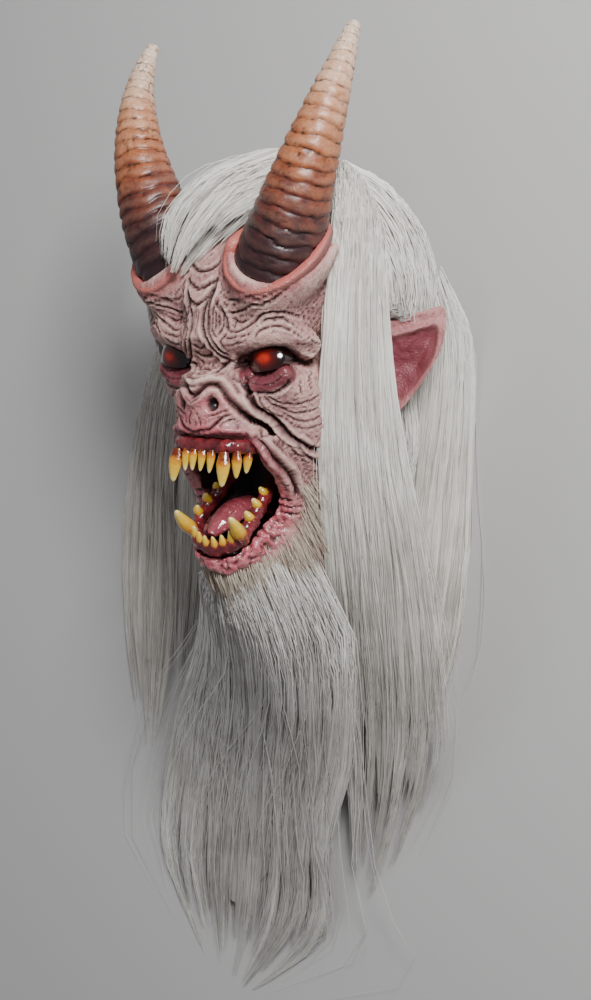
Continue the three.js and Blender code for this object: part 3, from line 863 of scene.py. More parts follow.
@dataclass(frozen=True)
class EyeFinish:
    """A glossy dark red dome with a painted orange-red glow off its middle, painted near black towards its
    rim as shade under the lids.
    """

    # Near black at the rim: painted shade under the lids.
    rim: Colour = rgb(0.004, 0.0003, 0.0003)
    red: Colour = rgb(0.085, 0.002, 0.001)
    glow: Colour = rgb(0.52, 0.022, 0.004)

    def build(self) -> Material:
        """Returns the eye's material."""
        material, tree = new_material("eye")
        mottle = use_group(tree, mottle_group(), Scale=90.0)
        # A painted glow in the middle of the dome, fading to painted shade at its rim.
        glow = figure(tree, "MULTIPLY", reading(tree, "glow"),
                      figure(tree, "ADD", figure(tree, "MULTIPLY", mottle.outputs["Clouds"], 0.35), 0.75))
        colour = ramp(tree, glow, ((0.0, self.rim), (0.45, self.red), (1.0, self.glow)))
        close_material(tree, {"Base Color": colour, "Roughness": 0.12, "Coat Weight": 1.0,
                              "Coat Roughness": 0.03})
        return material


@dataclass(frozen=True)
class ToothFinish:
    """Amber roots and cream tips of enamel, set in wet dark red gums."""

    stops: tuple[tuple[float, Colour], ...] = (
        (0.0, rgb(0.14, 0.02, 0.004)),
        (0.14, rgb(0.45, 0.13, 0.008)),
        (0.36, rgb(0.66, 0.36, 0.016)),
        (0.78, rgb(0.70, 0.47, 0.05)),
        (1.0, rgb(0.80, 0.66, 0.28)),
    )
    gum: Colour = rgb(0.055, 0.006, 0.009)
    gum_light: Colour = rgb(0.24, 0.026, 0.032)

    def build(self) -> Material:
        """Returns the material of teeth and gums."""
        material, tree = new_material("teeth")
        mottle = use_group(tree, mottle_group(), Scale=110.0)
        crazing = use_group(tree, crazing_group(), Scale=300.0, Warp=0.003)
        enamel = ramp(tree, clouded(tree, reading(tree, "along"), mottle, 0.22), self.stops)
        flesh = mix_colour(tree, mottle.outputs["Clouds"], self.gum, self.gum_light)
        colour = mix_colour(tree, reading(tree, "enamel"), flesh, enamel)
        close_material(tree, {"Base Color": colour, "Roughness": 0.22, "Coat Weight": 0.8,
                              "Coat Roughness": 0.08},
                       crazing.outputs["Height"], 0.00012)
        return material


@dataclass(frozen=True)
class TongueFinish:
    """A wet dark pink tongue, with painted shade that darkens its root and the groove along its middle."""

    pink: Colour = rgb(0.33, 0.055, 0.075)
    root: Colour = rgb(0.05, 0.006, 0.010)

    def build(self) -> Material:
        """Returns the tongue's material."""
        material, tree = new_material("tongue")
        crazing = use_group(tree, crazing_group(), Scale=700.0, Warp=0.002)
        mottle = use_group(tree, mottle_group(), Scale=80.0)
        # Painted shade: the dark root colour takes over towards the root and along the middle groove.
        colour = mix_colour(tree, reading(tree, "along"), self.root, self.pink)
        shade = figure(tree, "MULTIPLY", mottle.outputs["Clouds"], 0.4)
        colour = mix_colour(tree, shade, colour, self.root)
        close_material(tree, {"Base Color": colour, "Roughness": 0.28, "Coat Weight": 0.9,
                              "Coat Roughness": 0.1},
                       crazing.outputs["Height"], 0.0003)
        return material


@dataclass(frozen=True)
class HairFinish:
    """Silky synthetic hair, whose strands differ in tone."""

    name: str
    shade: Colour
    middle: Colour
    light: Colour

    def build(self) -> Material:
        """Returns the hair's material."""
        material, tree = new_material(self.name)
        mottle = use_group(tree, mottle_group(), Scale=14.0)
        tone = clouded(tree, reading(tree, "tone"), mottle, 0.3)
        colour = ramp(tree, tone, ((0.0, self.shade), (0.4, self.middle), (1.0, self.light)))
        close_material(tree, {"Base Color": colour, "Roughness": 0.42, "Specular IOR Level": 0.5})
        return material


# Skin


@dataclass
class EarShape:
    """A pointed ear: a leaf hollowed towards the front."""

    edge: tuple[Place, ...] = (
        (80, 24, 5), (100, 33, -7), (117, 39, -21), (130, 43, -34), (134, 27,
                                                                     -33), (132, 8, -28), (125, -8, -24),
        (114, -26, -20), (100, -44, -13), (82, -53, -7), (77, -34, -6), (76, -12, -4), (77, 8, 0),
    )
    hollow: Place = (108, -4, -28)
    facing: Place = (0.73, -0.03, 0.68)
    wall: float = 4.5
    around: int = 112
    rings: int = 26

    def build(self, side: int, chart: PaintChart) -> Piece:
        """Makes one ear.

        Args:
            side: 1 for the wearer's left, -1 for the right.
            chart: The chart that takes the ear's paint.

        Returns:
            The ear as a closed object.
        """
        way = hand(side)
        rim = curve_through(np.array(self.edge), self.around, closed=True) * way
        hollow = np.array(self.hollow) * way
        facing = unit(np.array(self.facing) * way)
        share = np.linspace(0.06, 1.0, self.rings)
        half = self.wall / 2
        body = hollow + (rim - hollow) * (share[:, None, None] ** 0.85)
        thick = half * np.sqrt(np.clip(1 - ((share - 0.86) / 0.14).clip(0) ** 2, 0.0, 1.0)) + 0.15
        turn = np.linspace(0, math.tau, self.around, endpoint=False)
        ridge = 4.2 * np.exp(-((share[:, None] - 0.66) / 0.075) ** 2) * (0.55 + 0.45 * np.cos(turn - 1.3))
        folds = 1.0 * pleats(turn * 13 + 5 * share[:, None] + rough(body, 17.0, 3.0),
                             1.9) * share[:, None] ** 1.5
        lumps = 1.1 * rough(body, 11.0, 9.0) + 0.5 * rough(body, 4.0, 2.0)
        relief = (ridge + folds + lumps) * smooth_step(1 - share, 0.0, 0.12)[:, None]
        front = body + facing * (thick[:, None] + relief)[..., None]
        back = body - facing * (thick[:, None] + 0.4 * lumps * (share[:, None] < 0.9))[..., None]
        grid = np.concatenate([front, back[::-1]])
        ear = loft("ear", grid)
        # Painted shade in the ear's inner hollow, its fold valleys and the dips on its back, and a painted
        # highlight on its raised relief.
        inner = smooth_step(0.92 - share, 0.0, 0.6)[:, None]
        sunk = np.clip(-(folds + 0.3) * 0.9, 0, 0.8) + 0.35 * inner
        chart.add(front, cavity=sunk * smooth_step(1 - share, 0.0, 0.1)[:, None],
                  crest=np.clip(relief / 5, 0, 1), flush=np.clip(0.32 + 0.35 * inner, 0, 0.8),
                  bruise=np.clip(0.75 * inner + 0.1, 0, 1), dark=0.25 * inner)
        chart.add(back, cavity=np.clip(-0.25 * lumps, 0, 0.6), flush=0.25, bruise=0.1)
        return ear


@dataclass
class HornRim:
    """The flat raised band of flesh that a horn grows out of."""

    outline: tuple[Place, ...] = (
        (27, 94, 108), (23, 82, 109.5), (29, 69.5, 114.5), (39, 61, 117), (49, 57, 117), (60, 56.5, 115),
        (74, 61, 109), (85, 69.5, 100.5), (92, 81, 90), (94, 93, 80), (88, 102,
                                                                       67), (76, 107, 58), (60, 110, 55),
        (44, 110, 60), (32, 107, 74), (27, 102, 92),
    )
    half_width: float = 4.4
    half_height: float = 4.0
    around: int = 120
    sides: int = 18

    def line(self, side: int, count: int) -> Array:
        """Returns places round the middle of the band."""
        return curve_through(np.array(self.outline) * hand(side), count, closed=True)

    def gap(self, places: Array) -> Array:
        """Returns how far each place is outside the band."""
        return line_distance(mirrored(places), self.line(1, 60))[0] - self.half_width

    def build(self, side: int, chart: PaintChart) -> Piece:
        """Makes one band.

        Args:
            side: 1 for the wearer's left, -1 for the right.
            chart: The chart that takes the band's paint.

        Returns:
            The band as a closed object.
        """
        clear_selection()
        bpy.ops.mesh.primitive_torus_add(major_segments=self.around, minor_segments=self.sides,
                                         major_radius=1.0, minor_radius=0.25)
        ring = bpy.context.object
        ring.name = "horn_rim"
        start = read_places(ring)
        turn = np.arctan2(start[:, 1], start[:, 0])
        roll = np.arctan2(start[:, 2], np.hypot(start[:, 0], start[:, 1]) - 1.0)
        station = np.rint(turn / math.tau * self.around).astype(int) % self.around
        line = self.line(side, self.around)
        along = unit(np.roll(line, -1, axis=0) - np.roll(line, 1, axis=0))
        spoke = line - line.mean(axis=0)
        spoke = unit(spoke - along * (spoke * along).sum(axis=1, keepdims=True))
        upward = np.cross(along, spoke)
        upward = upward * np.sign(upward[:, 1:2] + upward[:, 2:3])
        across = np.sign(np.cos(roll)) * np.abs(np.cos(roll)) ** 0.7
        rise = np.sign(np.sin(roll)) * np.abs(np.sin(roll)) ** 0.7
        middle = line[station]
        uneven = 1 + 0.10 * rough(middle, 11.0, 5.0)
        placed = middle + spoke[station] * (self.half_width * uneven * across)[:, None]
        placed = placed + upward[station] * (self.half_height * uneven * rise)[:, None]
        placed = placed + upward[station] * (0.35 * rough(placed, 3.5, 6.0))[:, None]
        write_places(ring, placed)
        face_outwards(ring)
        # Painted shade along the band's edges, where it meets the skin.
        edge = smooth_step(np.abs(across), 0.75, 1.0)
        chart.add(placed, cavity=0.45 * edge + 0.15, wet=0.15, coral=1 - 0.45 * edge)
        return ring


@dataclass(frozen=True)
class Crease:
    """A carved crease through a few places on the face, each given across and up."""

    points: tuple[tuple[float, float], ...]
    depth: float = 1.5
    width: float = 1.0
    pad: float = 0.4
    # How strongly the crease is darkened, as a dark wash with painted shade.
    wash_and_shade: float = 0.85


CREASES = tuple(Crease(*row) for row in (
    # Forehead pads, one below the other
    (((0, 71), (9, 74), (17, 80)), 2.4, 1.3),
    (((0, 58.5), (7, 60.5), (15, 66)), 2.8, 1.4),
    (((0, 46), (5, 48), (11, 54)), 2.6, 1.3),
    # Upright furrows between the brows
    (((15, 66), (12.5, 57), (9.5, 49), (6.5, 41), (5.5, 33), (7, 24), (10, 15.5), (14, 9), (19, 3), (25, -1)),
     3.4, 1.5),
    (((15, 60), (13, 53), (11, 46), (10, 37), (10, 29), (11.5, 22), (15, 15.5), (18.5, 10), (23, 5)), 2.4,
     1.2),
    (((17, 49), (13.6, 41), (12.8, 33), (13.6, 26), (17, 20.5), (20, 20)), 1.6, 0.9),
    (((17.5, 49), (20, 42), (20.5, 34), (20, 27), (18, 21)), 1.6, 0.9),
    (((16.5, 44), (15, 36), (15.4, 28), (17, 24)), 1.1, 0.8),
    (((18.2, 43), (17.6, 35), (18, 27)), 1.1, 0.8),
    (((2.5, 42), (2, 33), (2.5, 25)), 1.0, 0.9),
    # Long creases that follow the rim and the brow
    (((16, 52), (17, 45), (21, 38.5), (22.5, 32), (23.5, 27.5), (28, 25), (34, 25.5), (42, 29), (49, 32.5),
      (54, 36.5), (61, 40), (69, 40), (75, 37), (79, 32)), 2.0, 1.1),
    (((22, 40), (28, 39.5), (36, 41), (45, 43.5), (52, 45.5), (60, 47), (67, 49.5), (73, 53), (78, 58),
      (82, 66)),
     1.8, 1.0),
    (((30, 47), (41, 48.5), (53, 49.5), (62, 51.5), (69, 55), (75, 60), (80, 67)), 1.4, 0.9),
    (((22, 53), (26, 50.5), (34, 50), (44, 51), (55, 53), (64, 56), (71, 60.5), (77, 67)), 1.7, 1.0),
    (((50, 19), (52, 24), (57, 28), (63, 29.5), (69, 28.5), (75, 26), (80, 20)), 1.5, 1.0),
    (((54, 33), (60, 35.5), (67, 35.5), (73, 32), (78, 27)), 0.9, 0.9),
    (((26, 36), (31, 33), (36, 32.5), (41, 34)), 1.2, 0.9),
    (((24, 31), (28, 29), (31, 25)), 1.2, 0.9),
    (((30, 38), (29, 33), (30, 27)), 1.0, 0.8),
    (((22, 21), (27, 19.5), (33, 20.5), (40, 21.5), (47, 23)), 1.1, 0.9),
    (((22, 15), (28, 13.5), (35, 15), (43, 17)), 1.0, 0.9),
    (((24, 24), (21, 17), (24, 10)), 1.0, 0.8),
    (((64, 44), (72, 45), (79, 43), (84, 39)), 1.0, 0.9),
    (((84, 30), (81, 22), (84, 14)), 1.1, 0.9),
    (((80, 48), (85, 41), (87, 33)), 1.1, 0.9),
    # Round the outer corner of the eye
    (((71, 4), (78, 3.5), (85, 1.5), (91, 1)), 1.5, 0.9),
    (((71, 0), (75, -4), (81, -6), (89, -6.5)), 1.6, 1.0),
    (((71.5, -4), (76, -12), (80, -17), (84, -25)), 1.5, 0.9),
    (((71, -7), (74.5, -14), (77, -22)), 1.3, 0.9),
    (((70, -11), (71.5, -18), (72, -26)), 1.2, 0.9),
    (((77, 9), (84, 8.5), (90, 6)), 1.0, 0.8),
    (((75, 15), (82, 16), (88, 13)), 1.0, 0.8),
    # The bag under the eye
    (((25, -14), (33, -21), (43, -23.5), (54, -23), (63, -19), (69, -11)), 2.0, 1.2),
    (((48, -24.5), (54, -29), (61, -31.5), (68, -32.5), (75, -29), (80, -23)), 1.3, 0.9),
    (((46, -25), (51, -31), (57, -36.5), (65, -40), (73, -38), (80, -32)), 1.2, 0.9),
    (((42, -25), (45, -33), (50, -40), (57, -45)), 1.6, 1.0),
    (((37, -23), (40, -31), (45, -39), (51, -46)), 1.8, 1.1),
    (((58, -42), (66, -46), (74, -45), (81, -39)), 1.1, 0.9),
    (((63, -50), (70, -52), (78, -49), (84, -43)), 1.0, 0.9),
    (((27, -9), (36, -14.5), (48, -16), (58, -14), (66, -8)), 1.2, 0.8, 0.2, 0.5),
    # The two deep folds from the nose and the inner eye to the jaw
    (((0, -26), (5, -22), (9, -18.5), (14, -16.5), (18.5, -17.5), (22.5, -21), (26, -27), (29, -32),
      (33, -39),
      (38, -48), (44, -57), (50.5, -69), (54, -78), (57, -87), (58, -95), (57.5, -102), (56, -110)),
     5.2, 2.3, 0.45, 1.0),
    (((30, -13), (34, -21), (38.5, -30), (43, -37.5), (48, -45), (53.5, -53), (59.5, -60), (66, -65),
      (72, -70.5),
      (76, -78), (79, -87)), 4.6, 2.1, 0.45, 1.0),
    (((61, -62), (66, -72), (69, -83), (70, -94)), 1.8, 1.4),
    # Short wrinkles across the folds
    (((41, -44), (45, -43)), 0.9, 0.8),
    (((44, -50), (49, -50.5), (53, -54)), 0.9, 0.8),
    (((54, -66), (60, -67), (67, -70)), 1.0, 0.8),
    (((57, -73), (63, -74), (69, -77)), 1.0, 0.8),
    (((59, -79), (65, -80), (71, -84)), 1.0, 0.8),
    (((60, -86), (66, -88), (72, -92)), 1.0, 0.8),
    (((60, -94), (66, -96), (72, -100)), 1.0, 0.8),
    (((48, -76), (51.5, -77), (54.5, -80)), 0.9, 0.8),
    (((49, -86), (53, -87), (57, -90)), 0.9, 0.8),
    (((48, -97), (53, -98), (57.5, -99)), 0.9, 0.8),
    (((36, -53), (39, -57), (40, -61)), 0.9, 0.8),
    # Nose
    (((0, -12.5), (6, -12), (11, -8.5), (14, -3.5), (20, -0.5), (26, -3)), 3.0, 1.4),
    (((0, -5.5), (5, -6), (9, -4.5), (12, 0)), 1.8, 1.1),
    (((0, 4), (5, 5), (9, 9)), 2.0, 1.2),
    (((0, 11), (4, 12.5), (7, 17)), 1.6, 1.1),
    (((0, -18.5), (5, -17.5), (10, -14)), 1.4, 1.0),
    (((0, -31), (5, -28), (9, -24)), 1.1, 0.9),
    (((11, -41), (19, -39.5), (24, -37), (28, -34.5)), 1.5, 1.0),
    (((0, -54.5), (8, -53.5), (14, -51), (20, -45.5), (25, -40.5)), 2.2, 1.3),
    (((14, -45), (19, -42.5), (26, -42)), 1.0, 0.8),
    (((21, -50), (25, -46), (31, -43)), 0.9, 0.8),
    (((2, -38), (5, -44), (6, -51)), 1.1, 0.9),
    # Corner of the mouth
    (((41, -112), (48, -112), (56, -111)), 1.8, 1.0),
    (((42, -117), (49, -118), (58, -117)), 1.8, 1.0),
    (((41, -122), (48, -124), (57, -123)), 1.6, 1.0),
))


@dataclass
class SkinPiece:
    """The latex skin: face, ears and horn rims on a hollow head."""

    form: HeadForm = field(default_factory=HeadForm)
    ear: EarShape = field(default_factory=EarShape)
    rim: HornRim = field(default_factory=HornRim)
    columns: int = 360
    level_rows: int = 206
    crown_rows: int = 34
    relief_margin: float = 24.0
    seat_depth: float = 10.0
    eye_outline: tuple[tuple[float, float], ...] = ((28, -3), (37, 8), (56, 13), (66, 6), (60, -4), (39, -7))
    bruises: tuple[tuple[float, Place, Place], ...] = (
        (0.85, (92, 34, 56), (9, 26, 30)), (0.9, (88, -60, 40), (12, 36, 34)),
        (0.45, (15, 34, 114), (12, 18, 22)), (0.5, (25, -3, 104), (10, 8, 20)),
        (0.25, (56, -80, 70), (16, 30, 30)), (0.35, (40, 12, 100), (30, 9, 30)),
        (0.4, (74, 48, 84), (14, 26, 30)), (0.3, (34, -44, 96), (10, 26, 30)),
    )

    def grid(self) -> RayGrid:
        """Lays out the fine grid, closest over the face.

        Returns:
            The grid of rays.
        """
        turn = np.linspace(-180, 180, 721)
        front = 0.16 + 0.84 * (1 - smooth_step(np.abs(turn), 80, 106))
        columns = spaced(-180, 180, self.columns + 1, front)[:-1]
        height = np.linspace(NECK_EDGE, CROWN_START, 247)
        levels = spaced(NECK_EDGE, CROWN_START, self.level_rows, 0.3 + 0.7 * smooth_step(height, -180, -166))
        rise = np.linspace(0, 86, 87)
        lifts = spaced(0, 86, self.crown_rows + 1, 1.0 - 0.85 * smooth_step(rise, 16, 34))[1:]
        return RayGrid(columns, levels, lifts)

    @staticmethod
    def melted(reach: Array, turns: int) -> Array:
        """Returns a grid's reaches with their sharp steps melted."""
        for _ in range(turns):
            reach = reach / 2 + (np.roll(reach, 1, axis=1) + np.roll(reach, -1, axis=1)) / 4
            below = np.vstack([reach[:1], reach[:-1]])
            above = np.vstack([reach[1:], reach[-1:]])
            reach = reach / 2 + (below + above) / 4
        return reach

    @staticmethod
    def carve(places: Array) -> tuple[Array, Array]:
        """Works out the carved creases.

        Args:
            places: Places on the smooth face.

        Returns:
            How far each place is raised in millimetres, and how much dark wash and painted shade lies in it.
        """
        drift = np.stack([rough(places, 13.0, 60.0), rough(places, 13.0, 61.0), rough(places, 13.0, 62.0)],
                         axis=-1)
        flat = (mirrored(places) + 0.7 * drift + 0.25 * rough(places, 4.0, 63.0)[..., None]).reshape(-1, 3)
        front = flat[flat[:, 2] > 16]
        height = np.zeros(len(flat))
        wash_and_shade = np.zeros(len(flat))
        for crease in CREASES:
            corners = np.array(crease.points, float)
            length = np.linalg.norm(np.diff(corners, axis=0), axis=1).sum()
            line = curve_through(corners, max(int(length / 0.8), 6))
            below = ((front[None, :, :2] - line[:, None]) ** 2).sum(axis=-1).argmin(axis=1)
            line = np.column_stack([line, front[below, 2]])
            margin = 4.5 * crease.width + 2.0
            close = ((flat > line.min(axis=0) - margin) & (flat < line.max(axis=0) + margin)).all(axis=1)
            near = np.flatnonzero(close)
            gaps = np.sqrt(((flat[near][:, None] - line[None]) ** 2).sum(axis=-1))
            nearest = gaps.argmin(axis=1)
            gap = gaps.min(axis=1)
            to_end = np.minimum(nearest, len(line) - 1 - nearest) * 0.8
            starts_on_middle = (crease.points[0][0] == 0) & (nearest < len(line) / 2)
            taper = np.where(starts_on_middle, 1.0, 0.25 + 0.75 * smooth_step(to_end, 0.0, 5.0))
            valley = np.exp(-(gap / crease.width) ** 2)
            pads = np.exp(-((gap - 2.3 * crease.width) / (1.3 * crease.width)) ** 2)
            height[near] += crease.depth * taper * (crease.pad * pads - valley)
            # A dark wash with painted shade along the crease's valley.
            shade = crease.wash_and_shade * taper * np.exp(-(gap / (1.15 * crease.width)) ** 2)
            wash_and_shade[near] = np.maximum(wash_and_shade[near], shade)
        return height.reshape(places.shape[:-1]), wash_and_shade.reshape(places.shape[:-1])

    def folds(self, places: Array) -> Array:
        """Works out the fine wrinkles between the carved creases.

        Args:
            places: Places on the smooth face.

        Returns:
            How far each place is raised, in millimetres, below nought in a wrinkle.
        """
        x, y, z = places[..., 0], places[..., 1], places[..., 2]
        side = np.abs(x)
        sway = 2.8 * rough(places, 20.0, 1.0) + 1.4 * rough(places, 7.0, 4.0)
        front = smooth_step(z, 10, 50)
        brow_gap = line_distance(mirrored(places), np.array(self.form.rolls[1].points))[0] - 11
        lip_gap, lip_walk = line_distance(mirrored(places), self.form.lip_line())
        lip_gap = lip_gap - self.form.lip_radius
        eye = np.hypot((side - 52) / 22, (y + 3) / 13) * 14
        corner = np.arctan2(y - 2, side - 70) * 24
        rim_gap = self.rim.gap(places)
        families = (
            (0.7, brow_gap + sway, 3.9, zone(places, (54, 38, 92), (32, 18, 50))),
            (0.6, side * 0.8 - y + sway, 3.6, zone(places, (34, 30, 100), (16, 18, 40))),
            (0.8, eye + sway, 3.4, zone(places, (60, -32, 80), (28, 18, 50)) * smooth_step(eye, 13, 16)),
            (0.8, corner + sway, 4.2, zone(places, (90, 0, 58), (17, 34, 42))),
            (0.7, lip_gap + sway, 4.4, zone(places, (62, -72, 76),
                                            (26, 40, 50)) * smooth_step(lip_gap, 5, 10)),
            (0.6, lip_walk + 0.25 * lip_gap + sway, 3.4, zone(places, (58, -70, 84), (30, 46, 50))),
            (0.5, side + 0.8 * sway, 3.6, zone(places, (14, -50, 118), (22, 8, 30))),
            (0.9, y + 0.5 * z + sway, 6.0, zone(places, (86, -58, 34), (24, 54, 44))),
            (0.6, y + 0.02 * x * x + sway, 3.2, zone(places, (0, -22, 124), (14, 14, 30))),
            (0.4, rim_gap + sway, 4.2, np.exp(-((rim_gap - 6) / 7) ** 2) * front),
            (1.2, y + 0.1 * z + sway, 12.0, smooth_step(-y, 150, 176)),
        )
        height = np.zeros_like(x)
        patches = 0.35 + 0.65 * smooth_step(rough(places, 9.0, 64.0), -0.3, 0.35)
        for depth, gauge, spacing, weight in families:
            height = height + depth * weight * patches * pleats(gauge, spacing)
        lower = smooth_step(-y, 100, 118)
        lip = glow(lip_gap, 3.6 + 2.6 * lower)
        swells = np.abs(np.sin(math.pi * (lip_walk + 2.6 * sway) / 12.0))
        lumps = swells - 0.45 + 0.5 * rough(places, 8.0, 65.0)
        uneven = 0.9 * rough(places, 4.6, 8.0) + 0.5 * rough(places, 2.6, 9.0)
        height = height * (1 - 0.75 * lip) + lip * lower * 2.8 * lumps + lip * (0.6 + 0.7 * lower) * uneven
        crumple = np.abs(rough(places, 5.0, 6.0)) + 0.5 * np.abs(rough(places, 2.8, 7.0))
        return height - (0.3 + 0.7 * front) * (0.75 * crumple * (1 - 0.6 * lip) - 0.3)

    def surface(self, chart: PaintChart, horns: "HornPiece") -> Piece:
        """Makes the outer skin with its wrinkles, and paints it on the chart.

        Args:
            chart: The chart that takes the skin's paint.
            horns: The horns, round whose feet the skin is sunk.

        Returns:
            The closed head form.
        """
        grid = self.grid()
        bare = grid.meet(self.form.bare)
        starts, ways = grid.rays()
        reach = ((bare - starts) * ways).sum(axis=-1) + self.relief_margin
        met = grid.meet(self.form.face, reach)
        smooth = starts + ways * self.melted(((met - starts) * ways).sum(axis=-1), 3)[..., None]
        outward = self.normals(smooth, ways)
        carved, wash_and_shade = self.carve(smooth)
        foot = line_distance(mirrored(smooth), horns.spine(1, 40)[1][:16])[0] - horns.base_radius
        sunk = self.seat_depth * smooth_step(4.5 - foot, 0.0, 3.5)
        placed = smooth + outward * (carved + self.folds(smooth) - sunk)[..., None]
        self.paint(chart, placed, smooth, self.normals(placed, ways), wash_and_shade)
        return loft("mask_skin_piece", placed, last=grid.pole(placed))

    @staticmethod
    def normals(grid: Array, ways: Array) -> Array:
        """Returns the outward directions of a grid's surface."""
        along = np.roll(grid, -1, axis=1) - np.roll(grid, 1, axis=1)
        upward = np.gradient(grid, axis=0)
        outward = unit(np.cross(along, upward))
        facing = np.sign((outward * ways).sum(axis=-1, keepdims=True))
        return outward * np.where(facing == 0, 1, facing)

    @staticmethod
    def sunkness(grid: Array, outward: Array, reach: int) -> Array:
        """Returns how far each place lies below its neighbours a few steps away."""
        rows = np.arange(len(grid))
        lower = grid[np.clip(rows - reach, 0, len(grid) - 1)]
        upper = grid[np.clip(rows + reach, 0, len(grid) - 1)]
        across = np.roll(grid, reach, axis=1) + np.roll(grid, -reach, axis=1)
        return (((lower + upper + across) / 4 - grid) * outward).sum(axis=-1)

    def paint(self, chart: PaintChart, placed: Array, smooth: Array, outward: Array,
              wash_and_shade: Array) -> None:
        """Works out the skin's dark wash with painted shade, its painted highlights, flushes and bruises, and
        adds them to the chart.

        Args:
            chart: The chart that takes the paint.
            placed: The wrinkled surface.
            smooth: The surface before its wrinkles.
            outward: The wrinkled surface's outward directions.
            wash_and_shade: How much dark wash and painted shade lies in the carved creases.
        """
        # Painted shade: places below their neighbours are darkened, and the carved creases' dark wash with
        # painted shade is laid over them.
        fine = self.sunkness(placed, outward, 1)
        broad = self.sunkness(placed, outward, 3)
        front = smooth_step(smooth[..., 2], 0, 40)
        cavity = np.clip(1.7 * fine + 0.75 * broad - 0.09, 0, 0.85) * (0.4 + 0.6 * front)
        cavity = np.clip(np.maximum(cavity, wash_and_shade) + 0.3 * np.minimum(cavity, wash_and_shade), 0, 1)
        # Painted highlight: places above their neighbours are lightened.
        crest = np.clip(-0.9 * fine - 0.4 * broad - 0.05, 0, 0.8)
        lip_gap = self.form.lip_gap(smooth)
        lower = smooth_step(-smooth[..., 1], 98, 114)
        lip = glow(lip_gap, 5.0 + 3.2 * lower)
        nose = zone(smooth, (10, -38, 122), (16, 17, 30)) + 0.6 * zone(smooth, (22, -28, 116), (7, 8, 14))
        nose = np.clip(nose * (1 + 0.35 * rough(smooth, 7.0, 14.0)), 0, 1)
        flush = np.clip(0.75 * nose + lip * (0.65 + 0.55 * lower), 0, 1)
        rim_glow = glow(self.rim.gap(smooth), 4.0) * front
        flush = np.maximum(flush, 0.35 * rim_glow)
        bruise = sum(weight * zone(smooth, centre, radii) for weight, centre, radii in self.bruises)
        bruise = bruise + 0.45 * rim_glow + 0.5 * lip * (1 - lower)
        streaks = 0.8 + 0.5 * rough(smooth * np.array([1, 0.45, 1]), 5.0, 12.0)
        lid = glow(self.form.rolls[3].distance(smooth), 1.6)
        # Painted shade in the eye socket and the nostril, held back under the lower lid.
        socket = smooth_step(-self.form.hollows[0].grown(3.0).distance(smooth), 0.0, 5.0)
        pit = socket * (1 - 0.6 * lid * smooth_step(-smooth[..., 1], 5, 8))
        nostril = smooth_step(-self.form.hollows[1].grown(0.6).distance(smooth), 0.0, 1.0)
        wet = np.clip(lip * (0.3 + 0.6 * lower) + 0.25 * nose + 0.5 * lid, 0, 0.9)
        flush = np.clip(flush + 0.7 * lid, 0, 1)
        chart.add(placed, cavity=cavity, crest=crest, flush=flush * (0.85 + 0.25 * rough(smooth, 5.0, 15.0)),
                  bruise=np.clip(bruise * streaks + 0.8 * lid, 0, 0.95), wet=wet,
                  dark=np.maximum(np.maximum(0.85 * pit, 0.5 * lid), nostril), coral=0.25 * rim_glow)

    def mouth_tool(self, chart: PaintChart) -> Piece:
        """Makes the mouth's hollow as a tool, and paints it as wet flesh with painted shade that darkens
        deeper in.
        """
        edge = np.array(self.form.mouth_edge)
        other = edge[1:-1][::-1] * np.array([-1, 1, 1])
        flat = np.vstack([edge, other]) * np.array([1, 1, 0])
        outline = curve_through(flat, 150, closed=True)
        depths = np.array([150, 120, 100, 84, 70, 58, 51, 44, 40, 37, 35.2, 34])
        shares = np.interp(-depths, [-150, -58, -44, -37, -34], [1, 1, 0.9, 0.68, 0.4])
        middle = np.array([0.0, -108.0, 0.0])
        grid = middle + (outline - middle)[None] * shares[:, None, None]
        grid = grid + np.array([0.0, 0.0, 1.0]) * depths[:, None, None]
        wobble = 0.7 * rough(grid, 7.0, 20.0) + 0.5 * rough(grid, 3.5, 21.0)
        grid = grid + unit(outline - middle)[None] * wobble[..., None]
        seen = grid[3:]
        # Painted shade: the flesh grows darker, and less flushed, the deeper it lies in the mouth.
        depth = smooth_step(104 - seen[..., 2], 0, 46)
        chart.add(seen, cavity=0.25, flush=0.75 * (1 - depth) + 0.2, wet=0.45 * (1 - depth),
                  dark=0.4 + 0.58 * depth)
        return loft("mouth_tool", grid)

    def eye_tool(self, side: int, inset: float = 0.0) -> Piece:
        """Makes the almond prism that an eye sits in.

        Args:
            side: 1 for the wearer's left, -1 for the right.
            inset: How much smaller the prism is, for the eye itself.

        Returns:
            The prism as a closed object.
        """
        outline = np.array([(x, y, 0.0) for x, y in self.eye_outline])
        middle = np.array([48.0, 0.0, 0.0])
        outline = middle + (curve_through(outline, 72, closed=True) - middle) * (1 - inset / 14)
        heights = np.array([82 + inset, 110.0, 146.0])
        grid = (outline[None] + np.array([0, 0, 1]) * heights[:, None, None]) * hand(side)
        return loft("eye_tool", grid)

    def build(self, horns: "HornPiece") -> Piece:
        """Makes the whole skin.

        Args:
            horns: The horns, whose seats are sunk into the skin.

        Returns:
            The skin.
        """
        chart = PaintChart()
        skin = self.surface(chart, horns)
        for side in (1, -1):
            combine(skin, self.rim.build(side, chart), Work.JOIN)
            combine(skin, self.eye_tool(side), Work.CUT)
            combine(skin, horns.seat(side), Work.CUT)
        combine(skin, self.mouth_tool(chart), Work.CUT)
        inner = self.form.plain_grid(80, 60)
        hollow = inner.meet(self.form.cavity)
        hollow[0] = hollow[0] + np.array([0.0, -10.0, 0.0])
